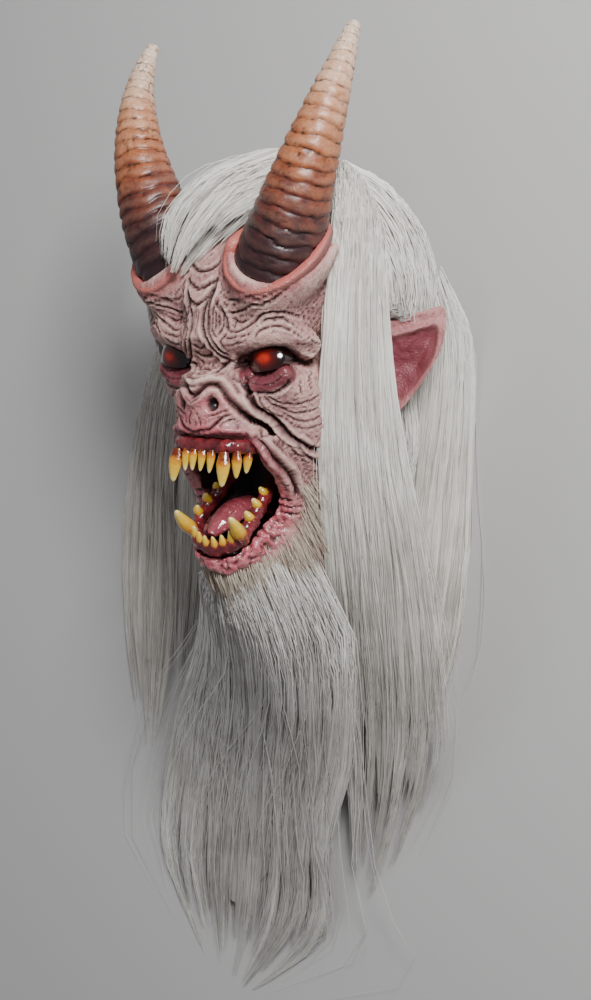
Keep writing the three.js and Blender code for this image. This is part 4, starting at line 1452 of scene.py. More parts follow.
        # Painted shade inside the mask, darker towards the face.
        chart.add(hollow, dark=0.9 * smooth_step(hollow[..., 2], -20, 20))
        combine(skin, loft("cavity_tool", hollow, last=inner.pole(hollow)), Work.CUT)
        chart.paint(skin)
        finish = SkinFinish().build()
        finish_piece(skin, finish, "skin", "mask_skin", crease=70.0)
        for side, label in ((1, "left"), (-1, "right")):
            ear_chart = PaintChart()
            ear = self.ear.build(side, ear_chart)
            ear.name = f"ear_{label}_piece"
            ear_chart.paint(ear)
            finish_piece(ear, finish, "skin", "mask_skin", crease=70.0)
        return skin


# Horns


@dataclass
class HornPiece:
    """A long horn that curves up and back, ringed with uneven ridges."""

    path: tuple[Place, ...] = ((51, 76, 83), (79, 126, 99), (110, 207, 91), (104, 260, 54))
    base_radius: float = 35.0
    tip_radius: float = 4.2
    sunk_start: float = -0.09
    ridges: int = 21
    ridge_depth: float = 3.0
    rings: int = 230
    sides: int = 68

    def spine(self, side: int, count: int) -> tuple[Array, Array, Array, Array]:
        """Works out the horn's line.

        Args:
            side: 1 for the wearer's left, -1 for the right.
            count: How many stations it has.

        Returns:
            The share along the horn, the centres, and two directions square to it.
        """
        share = np.linspace(self.sunk_start, 1, count)
        a, b, c, d = (np.array(point) * hand(side) for point in self.path)
        t = share[:, None]
        centre = a * (1 - t) ** 3 + 3 * b * t * (1 - t) ** 2 + 3 * c * t * t * (1 - t) + d * t ** 3
        along = unit(np.gradient(centre, axis=0))
        across = unit(np.cross([0.0, 0.0, 1.0], along))
        return share, centre, across, np.cross(along, across)

    def plain_radius(self, share: Array) -> Array:
        """Returns the horn's radius along it, without its ridges."""
        return self.tip_radius + (self.base_radius - self.tip_radius) * (1 - np.clip(share, 0, 1) ** 1.15)

    def seat(self, side: int) -> Piece:
        """Makes a plain horn as a tool to sink its seat with."""
        share, centre, across, upward = self.spine(side, 24)
        turn = np.linspace(0, math.tau, 48, endpoint=False)[None, :, None]
        radius = (self.plain_radius(share) + 0.2)[:, None, None]
        grid = centre[:, None] + across[:, None] * radius * np.cos(turn)
        grid = grid + upward[:, None] * radius * np.sin(turn)
        return loft("horn_seat", grid)

    def build(self, side: int, name: str, material: Material) -> Piece:
        """Makes one horn.

        Args:
            side: 1 for the wearer's left, -1 for the right.
            name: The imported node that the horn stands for.
            material: The horn's finish.

        Returns:
            The horn.
        """
        share, centre, across, upward = self.spine(side, self.rings)
        turn = np.linspace(0, math.tau, self.sides, endpoint=False)
        circle = across[:, None] * np.cos(turn)[None, :, None]
        circle = circle + upward[:, None] * np.sin(turn)[None, :, None]
        probe = centre[:, None] + circle * self.plain_radius(share)[:, None, None]
        uneven = 0.26 * rough(probe, 24.0, 30.0 * side) + 0.13 * rough(probe, 8.0, 31.0)
        count = self.ridges * (share + 0.16 * share ** 3) / 1.16
        phase = count[:, None] + uneven * (1 - 0.4 * share[:, None])
        part = phase % 1.0
        crest = np.clip(np.sin(math.pi * part ** 0.7), 0, 1) ** 0.5
        depth = self.ridge_depth * (1 - 0.62 * share[:, None]) * (0.85 + 0.3 * rough(probe, 16.0, 33.0))
        cracks = np.abs(rough(probe * np.array([1, 0.28, 1]), 3.6, 35.0))
        crack = np.clip(1 - cracks / 0.13, 0, 1) * smooth_step(rough(probe, 14.0, 37.0), -0.2, 0.4)
        pits = np.clip(rough(probe, 3.2, 36.0) - 0.45, 0, 1)
        relief = depth * (crest - 0.6) - 0.5 * pits - 0.7 * crack + 0.3 * rough(probe, 5.0, 38.0)
        blunt = np.clip((1 - share) / 0.012, 0.25, 1.0) ** 0.5
        radius = (self.plain_radius(share) * blunt)[:, None] + relief * smooth_step(1 - share, 0.0,
                                                                                    0.02)[:, None]
        grid = centre[:, None] + circle * radius[..., None]
        horn = loft(name + "_piece", grid, last=centre[-1] + (centre[-1] - centre[-2]) * 0.6)
        chart = PaintChart(("along", "crest", "cavity"))
        # Painted shade in the grooves between the rings and in the pits and cracks, and a painted highlight
        # on the ring crests.
        groove = np.clip(1.25 - crest * 1.9, 0, 1) * (1.0 - 0.25 * share[:, None])
        chart.add(grid, along=np.clip(share, 0, 1)[:, None], crest=np.clip(crest - 0.8, 0, 1) * 3.0,
                  cavity=np.clip(groove + 0.8 * pits + 0.7 * crack, 0, 1))
        chart.paint(horn)
        finish_piece(horn, material, "horn", name, crease=60.0)
        return horn


# Eyes, teeth and tongue


@dataclass
class EyePiece:
    """A glass dome trimmed to the almond between the lids."""

    centre: Place = (48, 0, 79)
    radius: float = 22.0
    glow_at: Place = (50, 4, 101)
    glow_width: float = 7.0

    def build(self, side: int, name: str, skin: SkinPiece, material: Material) -> Piece:
        """Makes one eye.

        Args:
            side: 1 for the wearer's left, -1 for the right.
            name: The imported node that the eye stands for.
            skin: The skin, which has the almond's outline.
            material: The eye's finish.

        Returns:
            The eye.
        """
        way = hand(side)
        clear_selection()
        bpy.ops.mesh.primitive_uv_sphere_add(segments=96, ring_count=64, radius=self.radius,
                                             location=tuple(np.array(self.centre) * way))
        eye = bpy.context.object
        eye.name = name + "_piece"
        bpy.ops.object.transform_apply(location=True, rotation=False, scale=False)
        combine(eye, skin.eye_tool(side, 0.5), Work.KEEP_COMMON)
        # The painted glow: strongest round a point a little above the dome's middle, gone at the almond's
        # edge, where the rim's painted shade takes over.
        away = np.linalg.norm((read_places(eye) - np.array(self.glow_at) * way) / np.array([1.25, 1, 1]),
                              axis=1)
        store(eye, "glow", np.exp(-(away / self.glow_width) ** 2))
        finish_piece(eye, material, "eye", name)
        return eye


@dataclass
class JawPiece:
    """A band of gum along an arch, with teeth set on it."""

    name: str
    arch: tuple[Place, ...]
    teeth: tuple[tuple[Place, Place, float], ...]
    bend: float
    gum_radius: float = 5.2

    def tooth(self, root: Array, tip: Array, radius: float, chart: PaintChart) -> Piece:
        """Makes one tooth: a bulging root that narrows to a blunt tip.

        Args:
            root: The middle of its root.
            tip: Its tip.
            radius: Its half width.
            chart: The chart that takes its paint.

        Returns:
            The tooth as a closed object.
        """
        share = np.linspace(-0.22, 1.0, 26)
        swell = np.interp(share, [-0.22, 0.0, 0.22, 0.5, 0.75, 0.9, 0.97, 1.0],
                          [0.72, 0.86, 1.04, 0.88, 0.62, 0.42, 0.27, 0.1])
        along = tip - root
        across = unit(np.cross([0.0, 0.0, 1.0], along))
        outward = np.cross(unit(along), across)
        bow = np.array([np.sign(root[0]) * self.bend, 0.0, self.bend * 0.6]) * radius * 0.12
        centre = root + along * share[:, None] + bow * np.sin(np.clip(share, 0, 1) * math.pi)[:, None]
        turn = np.linspace(0, math.tau, 26, endpoint=False)
        flutes = 1 + 0.04 * np.cos(3 * turn) + 0.02 * np.cos(7 * turn + root[0])
        circle = across * np.cos(turn)[:, None] + outward * 0.8 * np.sin(turn)[:, None]
        grid = centre[:, None] + circle[None] * (radius * swell[:, None] * flutes)[..., None]
        chart.add(grid, enamel=1.0, along=share[:, None].clip(0))
        return loft("tooth", grid, last=centre[-1] + unit(along) * 0.3)

    def gum(self, chart: PaintChart) -> Piece:
        """Makes the band of gum, swollen round each root.

        Args:
            chart: The chart that takes its paint.

        Returns:
            The gum as a closed object.
        """
        half = np.array(self.arch)
        other = half[1:][::-1] * np.array([-1, 1, 1])
        line = curve_through(np.vstack([other, half]), 170)
        along = unit(np.gradient(line, axis=0))
        across = unit(np.cross([0.0, 1.0, 0.0], along))
        upward = np.cross(along, across)
        roots = np.array([np.array(tooth[0]) * hand(way) for tooth in self.teeth for way in (1, -1)])
        near = np.linalg.norm(line[:, None] - roots[None], axis=-1).min(axis=1)
        swell = 1.1 + 0.25 * np.exp(-(near / 3.6) ** 2) + 0.06 * rough(line, 5.0, 40.0)
        turn = np.linspace(0, math.tau, 30, endpoint=False)
        circle = across[:, None] * 0.85 * np.cos(turn)[None, :, None]
        circle = circle + upward[:, None] * np.sin(turn)[None, :, None]
        grid = line[:, None] + circle * (self.gum_radius * swell)[:, None, None]
        grid = grid + circle * (0.8 * rough(grid, 3.4, 41.0))[..., None]
        chart.add(grid)
        return loft(self.name + "_piece", grid, line[0], line[-1])

    def build(self, material: Material) -> Piece:
        """Makes gum and teeth as one cast piece.

        Args:
            material: The finish of teeth and gums.

        Returns:
            The jaw.
        """
        chart = PaintChart(("enamel", "along"))
        jaw = self.gum(chart)
        for root, tip, radius in self.teeth:
            for side in (1, -1):
                way = hand(side)
                combine(jaw, self.tooth(np.array(root) * way, np.array(tip) * way, radius, chart), Work.JOIN)
        chart.paint(jaw)
        finish_piece(jaw, material, "teeth", self.name)
        return jaw


UPPER_JAW = JawPiece(
    "upper_teeth",
    ((0, -66, 118), (12, -66, 118), (23, -66, 115), (30, -66, 107), (34, -67, 95), (35, -68, 76),
     (33, -69, 40)),
    (((4.6, -70, 121), (4.2, -86, 124), 3.6), ((13.2, -70, 120), (12.8, -87, 123), 3.7),
     ((24.7, -75, 119), (26, -97, 123), 6.0), ((30.8, -73, 110), (31.2, -91, 111.5), 4.6),
     ((33.6, -73, 99), (32.8, -88, 101), 4.0)),
    bend=0.5,
)
LOWER_JAW = JawPiece(
    "lower_teeth",
    ((0, -152, 104), (13, -149, 102), (23, -143, 98), (27, -131, 88), (26, -118, 74), (23, -104, 58),
     (20, -94, 38)),
    (((4, -151, 106), (4.1, -141, 110), 3.3), ((11.6, -149, 105), (12, -139, 108), 3.5),
     ((18.6, -146, 102), (19.2, -135, 106), 3.8), ((25.8, -141, 99), (29, -122, 117), 7.0),
     ((27.4, -128, 89), (26, -120, 94), 4.6), ((26.6, -119, 78), (25.2, -111, 84), 4.6),
     ((25, -110, 67), (23.6, -103, 73), 4.4)),
    bend=1.4,
)


@dataclass
class TonguePiece:
    """A broad tongue that curls down to its tip, with a groove along its middle."""

    path: tuple[Place, ...] = ((0, -128, 34), (0, -106, 78), (-1, -141, 105))
    half_width: float = 14.5

    def build(self) -> Piece:
        """Makes the tongue.

        Returns:
            The tongue.
        """
        share = np.linspace(0, 1, 84)
        t = share[:, None]
        a, b, c = (np.array(point, float) for point in self.path)
        centre = a * (1 - t) ** 2 + 2 * b * t * (1 - t) + c * t * t
        along = unit(np.gradient(centre, axis=0))
        across = np.array([1.0, 0.0, 0.0])
        upward = unit(np.cross(along, across))
        narrow = np.sqrt(np.clip(1 - np.clip((share - 0.45) / 0.56, 0, 1) ** 2.4, 0.02, 1))
        half = self.half_width * narrow
        turn = np.linspace(0, math.tau, 60, endpoint=False)
        top = np.clip(-np.sin(turn), 0, 1)
        groove = top[None] ** 3 * 0.7
        grid = centre[:, None] + across * (half[:, None] * np.cos(turn))[..., None]
        thick = 7 * (0.45 + half / 34)[:, None] * np.sin(turn)[None] * (1 - groove)
        curl = 5.5 * (half / self.half_width)[:, None] * np.cos(turn)[None] ** 2
        grid = grid + upward[:, None] * (thick - curl)[..., None]
        bumps = 0.45 * rough(grid, 5.5, 50.0) + 0.22 * rough(grid, 1.9, 51.0)
        grid = grid + unit(grid - centre[:, None]) * bumps[..., None]
        tongue = loft("tongue_piece", grid)
        chart = PaintChart(("along",))
        # Painted shade: darker towards the root and along the middle groove.
        chart.add(grid, along=smooth_step(share, 0.1, 0.6)[:, None] * (1 - groove * 0.9))
        chart.paint(tongue)
        finish_piece(tongue, TongueFinish().build(), "tongue", "tongue")
        return tongue


# Hair

# The lowest that inner hair and loose strands reach, a little above the floor
COAT_LOW = 2.0 - HeadFrame().axis_height
STRAND_LOW = 0.8 - HeadFrame().axis_height


def streaks(seed: int, count: int) -> Array:
    """Returns random streaks that run smoothly round a closed form."""
    drawn = np.random.default_rng(seed).normal(0, 1, count)
    return np.convolve(np.tile(drawn, 3), [0.25, 0.5, 0.25], "same")[count:2 * count]


@dataclass
class StrandModel:
    """One strand, modelled once as a three-sided rod cut into lengths, and copied along many paths."""

    cuts: int

    def rod(self) -> tuple[Array, Array, list[tuple[int, ...]]]:
        """Models the rod.

        Returns:
            Each vertex's step along the rod, its angle round it, and the faces.
        """
        clear_selection()
        bpy.ops.mesh.primitive_cylinder_add(vertices=3, radius=1.0, depth=2.0, end_fill_type="NGON")
        rod = bpy.context.object
        bpy.ops.object.mode_set(mode="EDIT")
        bpy.ops.mesh.select_mode(type="EDGE")
        bpy.ops.mesh.select_all(action="DESELECT")
        bpy.ops.object.mode_set(mode="OBJECT")
        places = read_places(rod)
        for edge in rod.data.edges:
            start, end = (places[index] for index in edge.vertices)
            edge.select = abs(start[2] - end[2]) > 1.0
        bpy.ops.object.mode_set(mode="EDIT")
        bpy.ops.mesh.subdivide(number_cuts=self.cuts)
        bpy.ops.object.mode_set(mode="OBJECT")
        places = read_places(rod)
        step = np.rint((places[:, 2] + 1) / 2 * (self.cuts + 1)).astype(int)
        angle = np.arctan2(places[:, 1], places[:, 0])
        faces = [tuple(face.vertices) for face in rod.data.polygons]
        bpy.data.objects.remove(rod, do_unlink=True)
        return step, angle, faces

    def copies(self, name: str, paths: Array, radii: Array, tones: Array) -> Piece:
        """Copies the rod along every path, in one mesh.

        Args:
            name: The new object's name.
            paths: Places by strand and step.
            radii: Half widths by strand and step.
            tones: A number a strand, from dark to light.

        Returns:
            All the strands as one object.
        """
        step, angle, faces = self.rod()
        along = unit(np.gradient(paths, axis=1))
        mean_way = np.abs(along.mean(axis=1))
        aside = np.where(mean_way[:, :1] < 0.75, np.array([[1.0, 0.0, 0.06]]), np.array([[0.0, 0.1, 1.0]]))
        across = unit(np.cross(along, aside[:, None]))
        upward = np.cross(along, across)
        circle = across[:, step] * np.cos(angle)[None, :, None]
        circle = circle + upward[:, step] * np.sin(angle)[None, :, None]
        places = paths[:, step] + circle * radii[:, step, None]
        count = len(paths)
        offsets = np.arange(count)[:, None] * len(step)
        corners = np.concatenate([np.array(face) for face in faces])
        sizes = np.array([len(face) for face in faces])
        mesh = bpy.data.meshes.new(name)
        mesh.vertices.add(count * len(step))
        mesh.vertices.foreach_set("co", places.reshape(-1))
        mesh.loops.add(count * len(corners))
        mesh.loops.foreach_set("vertex_index", (offsets + corners[None]).reshape(-1).astype(np.int32))
        mesh.polygons.add(count * len(sizes))
        starts = np.concatenate([[0], np.cumsum(np.tile(sizes, count))[:-1]])
        mesh.polygons.foreach_set("loop_start", starts.astype(np.int32))
        mesh.update(calc_edges=True)
        strands = bpy.data.objects.new(name, mesh)
        bpy.context.collection.objects.link(strands)
        store(strands, "tone", np.repeat(tones, len(step)))
        return strands


@dataclass
class Lock:
    """Hair that lies as a flat lock along a path, its broad side turned to face out."""

    name: str
    path: tuple[Place, ...]
    width: tuple[float, float]
    thickness: tuple[float, float]
    turn: tuple[Place, Place]
    wrap: tuple[float, float]
    taper: float = 0.7
    count: int = 1000
    seed: int = 1
    strand: float = 0.62
    clumps: int = 22
    stations: int = 60
    steps: int = 9
    spill: float = 1.0
    coat_end: float = 0.86
    coat_sides: int = 72
    # The inner hair's tone, darker than the strands over it: painted shade of the lock's depths.
    coat_tone: float = 0.46
    ceiling: float = 138.0

    def section(self) -> dict[str, Array]:
        """Works out the lock's section along it.

        Returns:
            The centre, two directions, half width, depth and bend at each station.
        """
        centre = curve_through(np.array(self.path), self.stations)
        share = np.linspace(0, 1, self.stations)
        along = unit(np.gradient(centre, axis=0))
        lean = np.minimum(share * 1.6, 1)[:, None]
        facing = np.array(self.turn[0]) * (1 - lean) + np.array(self.turn[1]) * lean
        across = unit(np.cross(facing, along))
        outward = -np.cross(along, across)
        flip = np.where((outward @ np.array(self.turn[0]) + outward[:, 2])[:, None] < 0, -1.0, 1.0)
        end = 1 - 0.72 * np.maximum(0, (share - self.taper) / (1 - self.taper)) ** 1.5
        swell = np.minimum(1, 0.6 + 3 * share) * end
        half = np.interp(share * 1.4, [0, 1], self.width) / 2 * swell
        depth = np.interp(share, [0, 1], self.thickness) / 2 * (0.4 + 0.6 * swell)
        bend = np.interp(share * 2, [0, 1], self.wrap)
        return {"share": share, "centre": centre, "across": across, "out": outward * flip, "half": half,
                "depth": depth, "bend": bend}

    def undercoat(self) -> Piece:
        """Makes the dense inner hair as one streaked form."""
        section = self.section()
        turn = np.linspace(0, math.tau, self.coat_sides, endpoint=False)
        reach = np.cos(turn)
        depth = section["depth"][:, None] * 0.8 + 0.55 * streaks(self.seed, self.coat_sides)
        lift = depth * np.sin(turn) - section["bend"][:, None] * reach ** 2
        shrink = 1 - 0.86 * smooth_step(section["share"], 0.5, self.coat_end)[:, None]
        shrink = shrink * (0.25 + 0.75 * smooth_step(section["share"], 0.0, 0.1))[:, None]
        half = section["half"][:, None] * 0.92 * shrink * reach
        grid = section["centre"][:, None] + section["across"][:, None] * half[..., None]
        grid = grid + section["out"][:, None] * (lift * (0.3 + 0.7 * shrink))[..., None]
        grid = grid[section["share"] <= self.coat_end]
        grid[..., 2] = np.maximum(grid[..., 2], COAT_LOW)
        coat = loft(self.name + "_coat", grid)
        # Painted shade: the inner hair takes a darker tone than the strands over it.
        store(coat, "tone", self.coat_tone)
        return coat

    def strands(self) -> tuple[Array, Array, Array]:
        """Lays out the strands.

        Returns:
            The paths, the half widths and the tones.
        """
        section = self.section()
        generator = np.random.default_rng(self.seed)
        count = self.count
        clump_u = np.sort(generator.uniform(-1, 1, self.clumps))
        clump_v = generator.uniform(-1, 1, self.clumps)
        clump_end = generator.uniform(0.74, 1.02, self.clumps)
        u = generator.uniform(-1.02, 1.02, count)
        shell = np.sign(generator.uniform(-0.6, 1, count)) * generator.uniform(0.62, 1.12, count)
        own = np.abs(clump_u[None] - u[:, None]).argmin(axis=1)
        start = generator.uniform(0.0, 0.16, count) ** 1.2
        start[generator.uniform(size=count) < 0.25] *= 3.0
        end = np.clip(clump_end[own] - np.abs(generator.normal(0, 0.07, count)), 0.4, 1.0)
        end[generator.uniform(size=count) < 0.14] *= generator.uniform(0.5, 0.95)
        t = start[:, None] + (end - start)[:, None] * np.linspace(0, 1, self.steps)[None]
        gather = smooth_step(t, 0.35, 1.0) * 0.62
        wave = generator.uniform(0, math.tau, (self.clumps, 3))[own]
        sway = 0.05 * np.sin(t * 9 + wave[:, :1]) + 0.035 * np.sin(t * 17 + wave[:, 1:2])
        stray = generator.normal(0, 0.045, count)[:, None] * t
        stray = stray + 0.02 * generator.normal(0, 1, (count, self.steps))
        u_all = (u[:, None] * (1 - gather) + clump_u[own][:, None] * gather + (sway + stray) * self.spill)
        v_all = shell[:, None] * (1 - 0.5 * gather) + 0.35 * clump_v[own][:, None] * gather
        fly = (generator.uniform(size=count) < 0.08)[:, None] * smooth_step(t, 0.1, 0.8)
        u_all = u_all + fly * generator.normal(0, 0.35, count)[:, None]
        v_all = v_all + fly * np.abs(generator.normal(0, 0.7, count))[:, None]
        values = {}
        for key in ("half", "depth", "bend"):
            values[key] = np.interp(t, section["share"], section[key])
        for key in ("centre", "across", "out"):
            columns = [np.interp(t, section["share"], section[key][:, axis]) for axis in range(3)]
            values[key] = np.stack(columns, axis=-1)
        roundness = np.sqrt(np.clip(1.1 - np.clip(np.abs(u_all), 0, 1) ** 2, 0.12, 1))
        lift = values["depth"] * v_all * roundness - values["bend"] * np.clip(u_all, -1.15, 1.15) ** 2
        paths = values["centre"] + values["across"] * (values["half"] * u_all)[..., None]
        paths = paths + values["out"] * lift[..., None]
        paths[..., 2] = np.clip(paths[..., 2], STRAND_LOW, self.ceiling)
        width = self.strand * generator.uniform(0.6, 1.25, count) * np.where(fly[:, -1] > 0, 0.55, 1.0)
        taper = np.interp(np.linspace(0, 1, self.steps), [0, 0.1, 0.7, 1], [0.7, 1, 0.9, 0.2])
        tones = np.clip(generator.normal(0.7, 0.17, count) + 0.12 * np.sin(own * 2.4), 0.02, 1)
        return paths, width[:, None] * taper[None], tones

    def build(self, material: Material, slot: str, room: Piece | None) -> Piece:
        """Makes the whole lock.

        Args:
            material: The hair's finish.
            slot: The record's material slot.
            room: The head's own space, cut out of the inner hair.

        Returns:
            The lock.
        """
        coat = self.undercoat()
        if room is not None:
            combine(coat, room, Work.CUT)
            if "tone" not in coat.data.attributes:
                store(coat, "tone", self.coat_tone)
        paths, radii, tones = self.strands()
        strands = StrandModel(self.steps - 2).copies(self.name + "_piece", paths, radii, tones)
        join_pieces(strands, coat)
        finish_piece(strands, material, slot, self.name, crease=80.0)
        return strands


def join_pieces(kept: Piece, *others: Piece) -> None:
    """Joins some objects into the first one."""
    clear_selection()
    for piece in (kept, *others):
        piece.select_set(True)
    bpy.context.view_layer.objects.active = kept
    bpy.ops.object.join()


LOCKS = (
    Lock("lock_left_front",
         ((46, 158, -6), (72, 146, 14), (92, 120, 32), (99, 84, 42), (99, 50, 44), (98, -30, 39),
          (98, -105, 26),
          (88, -200, -8), (68, -298, -50), (46, -370, -79), (26, -440, -98), (6, -515, -107)),
         (34, 104), (13, 15), ((1, 0.4, 0.35), (0.25, 0, 1)), (3, 0), count=1550, seed=11, clumps=30),
    Lock("lock_left_back",
         ((102, 70, -56), (106, 30, -72), (102, -10, -84), (95, -60, -92), (87, -125, -99), (76, -215, -103),
          (64, -309, -105), (52, -378, -107)),
         (48, 64), (15, 14), ((1, 0, 0.3), (0.2, 0, 1)), (3, 0), count=1000, seed=12),
    Lock("lock_right_front",
         ((-46, 156, -6), (-72, 144, 14), (-92, 116, 32), (-118, 70, 40), (-142, 20, 6), (-164, -26, -50),
          (-182, -80, -90), (-192, -160, -103),
          (-200, -250, -105), (-214, -340, -106), (-228, -420, -107)),
         (40, 80), (13, 13), ((-1, 0.4, 0.35), (-0.1, 0, 1)), (3, 0), count=1200, seed=13, clumps=26),
    Lock("lock_right_back",
         ((-98, 66, -62), (-142, 50, -92), (-200, 26, -103), (-242, -34, -105), (-262, -120, -106),
          (-270, -220, -107), (-276, -320, -107), (-276, -420, -107)),
         (46, 74), (14, 11), ((-0.5, 0, 1), (0, 0, 1)), (2, 0), count=900, seed=14),
)
BEARD = Lock(
    "beard",
    ((4, -160, 84), (5, -186, 80), (2, -214, 66), (-8, -248, 40), (-34, -294, 4), (-64, -342, -30),
     (-98, -402, -62), (-126, -462, -86), (-146, -532, -101), (-158, -600, -107), (-166, -652, -108)),
    (140, 224), (24, 14), ((0, -0.5, 1), (0, 0, 1)), (46, 4),
    taper=0.8, count=2700, seed=15, clumps=46, spill=0.45,
)
FORELOCK = Lock(
    "hair_crown",
    ((8, 160, 8), (4, 150, 44), (-4, 134, 80), (-12, 110, 108), (-18, 86, 121), (-20, 70, 125)),
    (84, 66), (30, 30), ((0, 0.7, 0.7), (0, 0.4, 1)), (6, 4),
    taper=0.72, count=950, seed=16, clumps=14, spill=0.5,
)


@dataclass
class CrownPiece:
    """The hair over the skull, combed from the crown to the sides and back, and the forelock."""

    cap: Mass = Mass((0, 50, -24), (113, 116, 100), 1)
    nape: Mass = Mass((0, -70, -46), (90, 100, 64), 16)
    count: int = 1950
    steps: int = 9
    seed: int = 21
    strand: float = 0.7
    # The inner hair's tone, darker than the strands over it: painted shade of the hair's depths.
    coat_tone: float = 0.5

    def distance(self, places: Array) -> Array:
        """Returns the distance to the cap, drawn back behind the brow and the ears."""
        gap = join_smooth(self.cap.distance(places), self.nape.distance(places), self.nape.blend)
        beside_ear = smooth_step(places[..., 1], 22, 56)
        hairline = -14 * (1 - beside_ear) + (10 + 0.6 * places[..., 1]) * beside_ear
        return cut_smooth(gap, (hairline - places[..., 2]) * 0.7, 5)

    def grid(self) -> RayGrid:
        """Returns the cap's grid of rays."""
        return RayGrid(np.linspace(-180, 180, 150, endpoint=False), np.linspace(-178, CROWN_START, 52),
                       np.linspace(3, 86, 26))

    def undercoat(self, surface: Array, grid: RayGrid, room: Piece) -> Piece:
        """Makes the dense inner hair over the skull.

        Args:
            surface: The cap's surface.
            grid: The rays that it was measured with.
            room: The head's own space, cut out of the hair.

        Returns:
            The inner hair.
        """
        ways = grid.rays()[1]
        inner = surface - ways * (2.2 - 0.5 * streaks(self.seed, surface.shape[1]))[None, :, None]
        inner[..., 2] = np.maximum(inner[..., 2], COAT_LOW)
        coat = loft("crown_coat", inner, last=grid.pole(inner))
        combine(coat, room, Work.CUT)
        return coat

    def strands(self, surface: Array) -> tuple[Array, Array, Array]:
        """Lays out the strands over the cap.

        Args:
            surface: The cap's surface.

        Returns:
            The paths, the half widths and the tones.
        """
        generator = np.random.default_rng(self.seed)
        count = self.count
        rows, columns = surface.shape[:2]
        turn = generator.uniform(52, 308, count)
        top = rows - 1 - generator.uniform(0, 20, count)
        bottom = generator.uniform(3, 36, count)
        over_ear = np.abs(np.abs(turn - 180) - 92) < 30
        bottom = np.where(over_ear, generator.uniform(45, 51, count), bottom)
        share = np.linspace(0, 1, self.steps)[None]
        row = top[:, None] + (bottom - top)[:, None] * share
        drift = generator.normal(0, 3.0, count)[:, None] * share
        drift = drift + generator.normal(0, 5.0, count)[:, None] * (1 - share)
        column = ((turn[:, None] + drift + 180) % 360) / 360 * columns
        low_row = np.clip(np.floor(row).astype(int), 0, rows - 2)
        low_column = np.floor(column).astype(int) % columns
        part_row = (row - low_row)[..., None]
        part_column = (column - np.floor(column))[..., None]
        next_column = (low_column + 1) % columns
        near = surface[low_row, low_column] * (1 - part_column)
        near = near + surface[low_row, next_column] * part_column
        far = surface[low_row + 1, low_column] * (1 - part_column)
        far = far + surface[low_row + 1, next_column] * part_column
        paths = near * (1 - part_row) + far * part_row
        middle = np.array([0.0, 20.0, -20.0])
        lift = generator.uniform(-1.5, 2.2, count)[:, None] + generator.normal(0, 0.5, (count, self.steps))
        fly = (generator.uniform(size=count) < 0.05)[:, None] * generator.uniform(0, 7,
                                                                                  count)[:, None] * share
        paths = paths + unit(paths - middle) * (lift + fly)[..., None]
        paths[..., 2] = np.maximum(paths[..., 2], STRAND_LOW)
        width = self.strand * generator.uniform(0.6, 1.3, count)
        taper = np.interp(share[0], [0, 0.1, 0.75, 1], [0.5, 1, 0.9, 0.25])
        tones = np.clip(generator.normal(0.74, 0.15, count), 0.02, 1)
        return paths, width[:, None] * taper[None], tones

    def build(self, form: HeadForm, material: Material) -> Piece:
        """Makes the crown's hair with its forelock.

        Args:
            form: The head, which trims the inner hair.
            material: The hair's finish.

        Returns:
            The crown's hair.
        """
        grid = self.grid()
        surface = grid.meet(self.distance)
        coat = self.undercoat(surface, grid, form.room("crown_room", 0.6))
        front = FORELOCK.undercoat()
        combine(front, form.room("forelock_room", 0.6), Work.CUT)
        # Painted shade: the inner hair takes a darker tone than the strands over it.
        for piece in (coat, front):
            store(piece, "tone", self.coat_tone)
        crown = StrandModel(self.steps - 2).copies("hair_crown_piece", *self.strands(surface))
        fringe = StrandModel(FORELOCK.steps - 2).copies("forelock", *FORELOCK.strands())
        join_pieces(crown, fringe, coat, front)
        finish_piece(crown, material, "hair", "hair_crown", crease=80.0)
        return crown


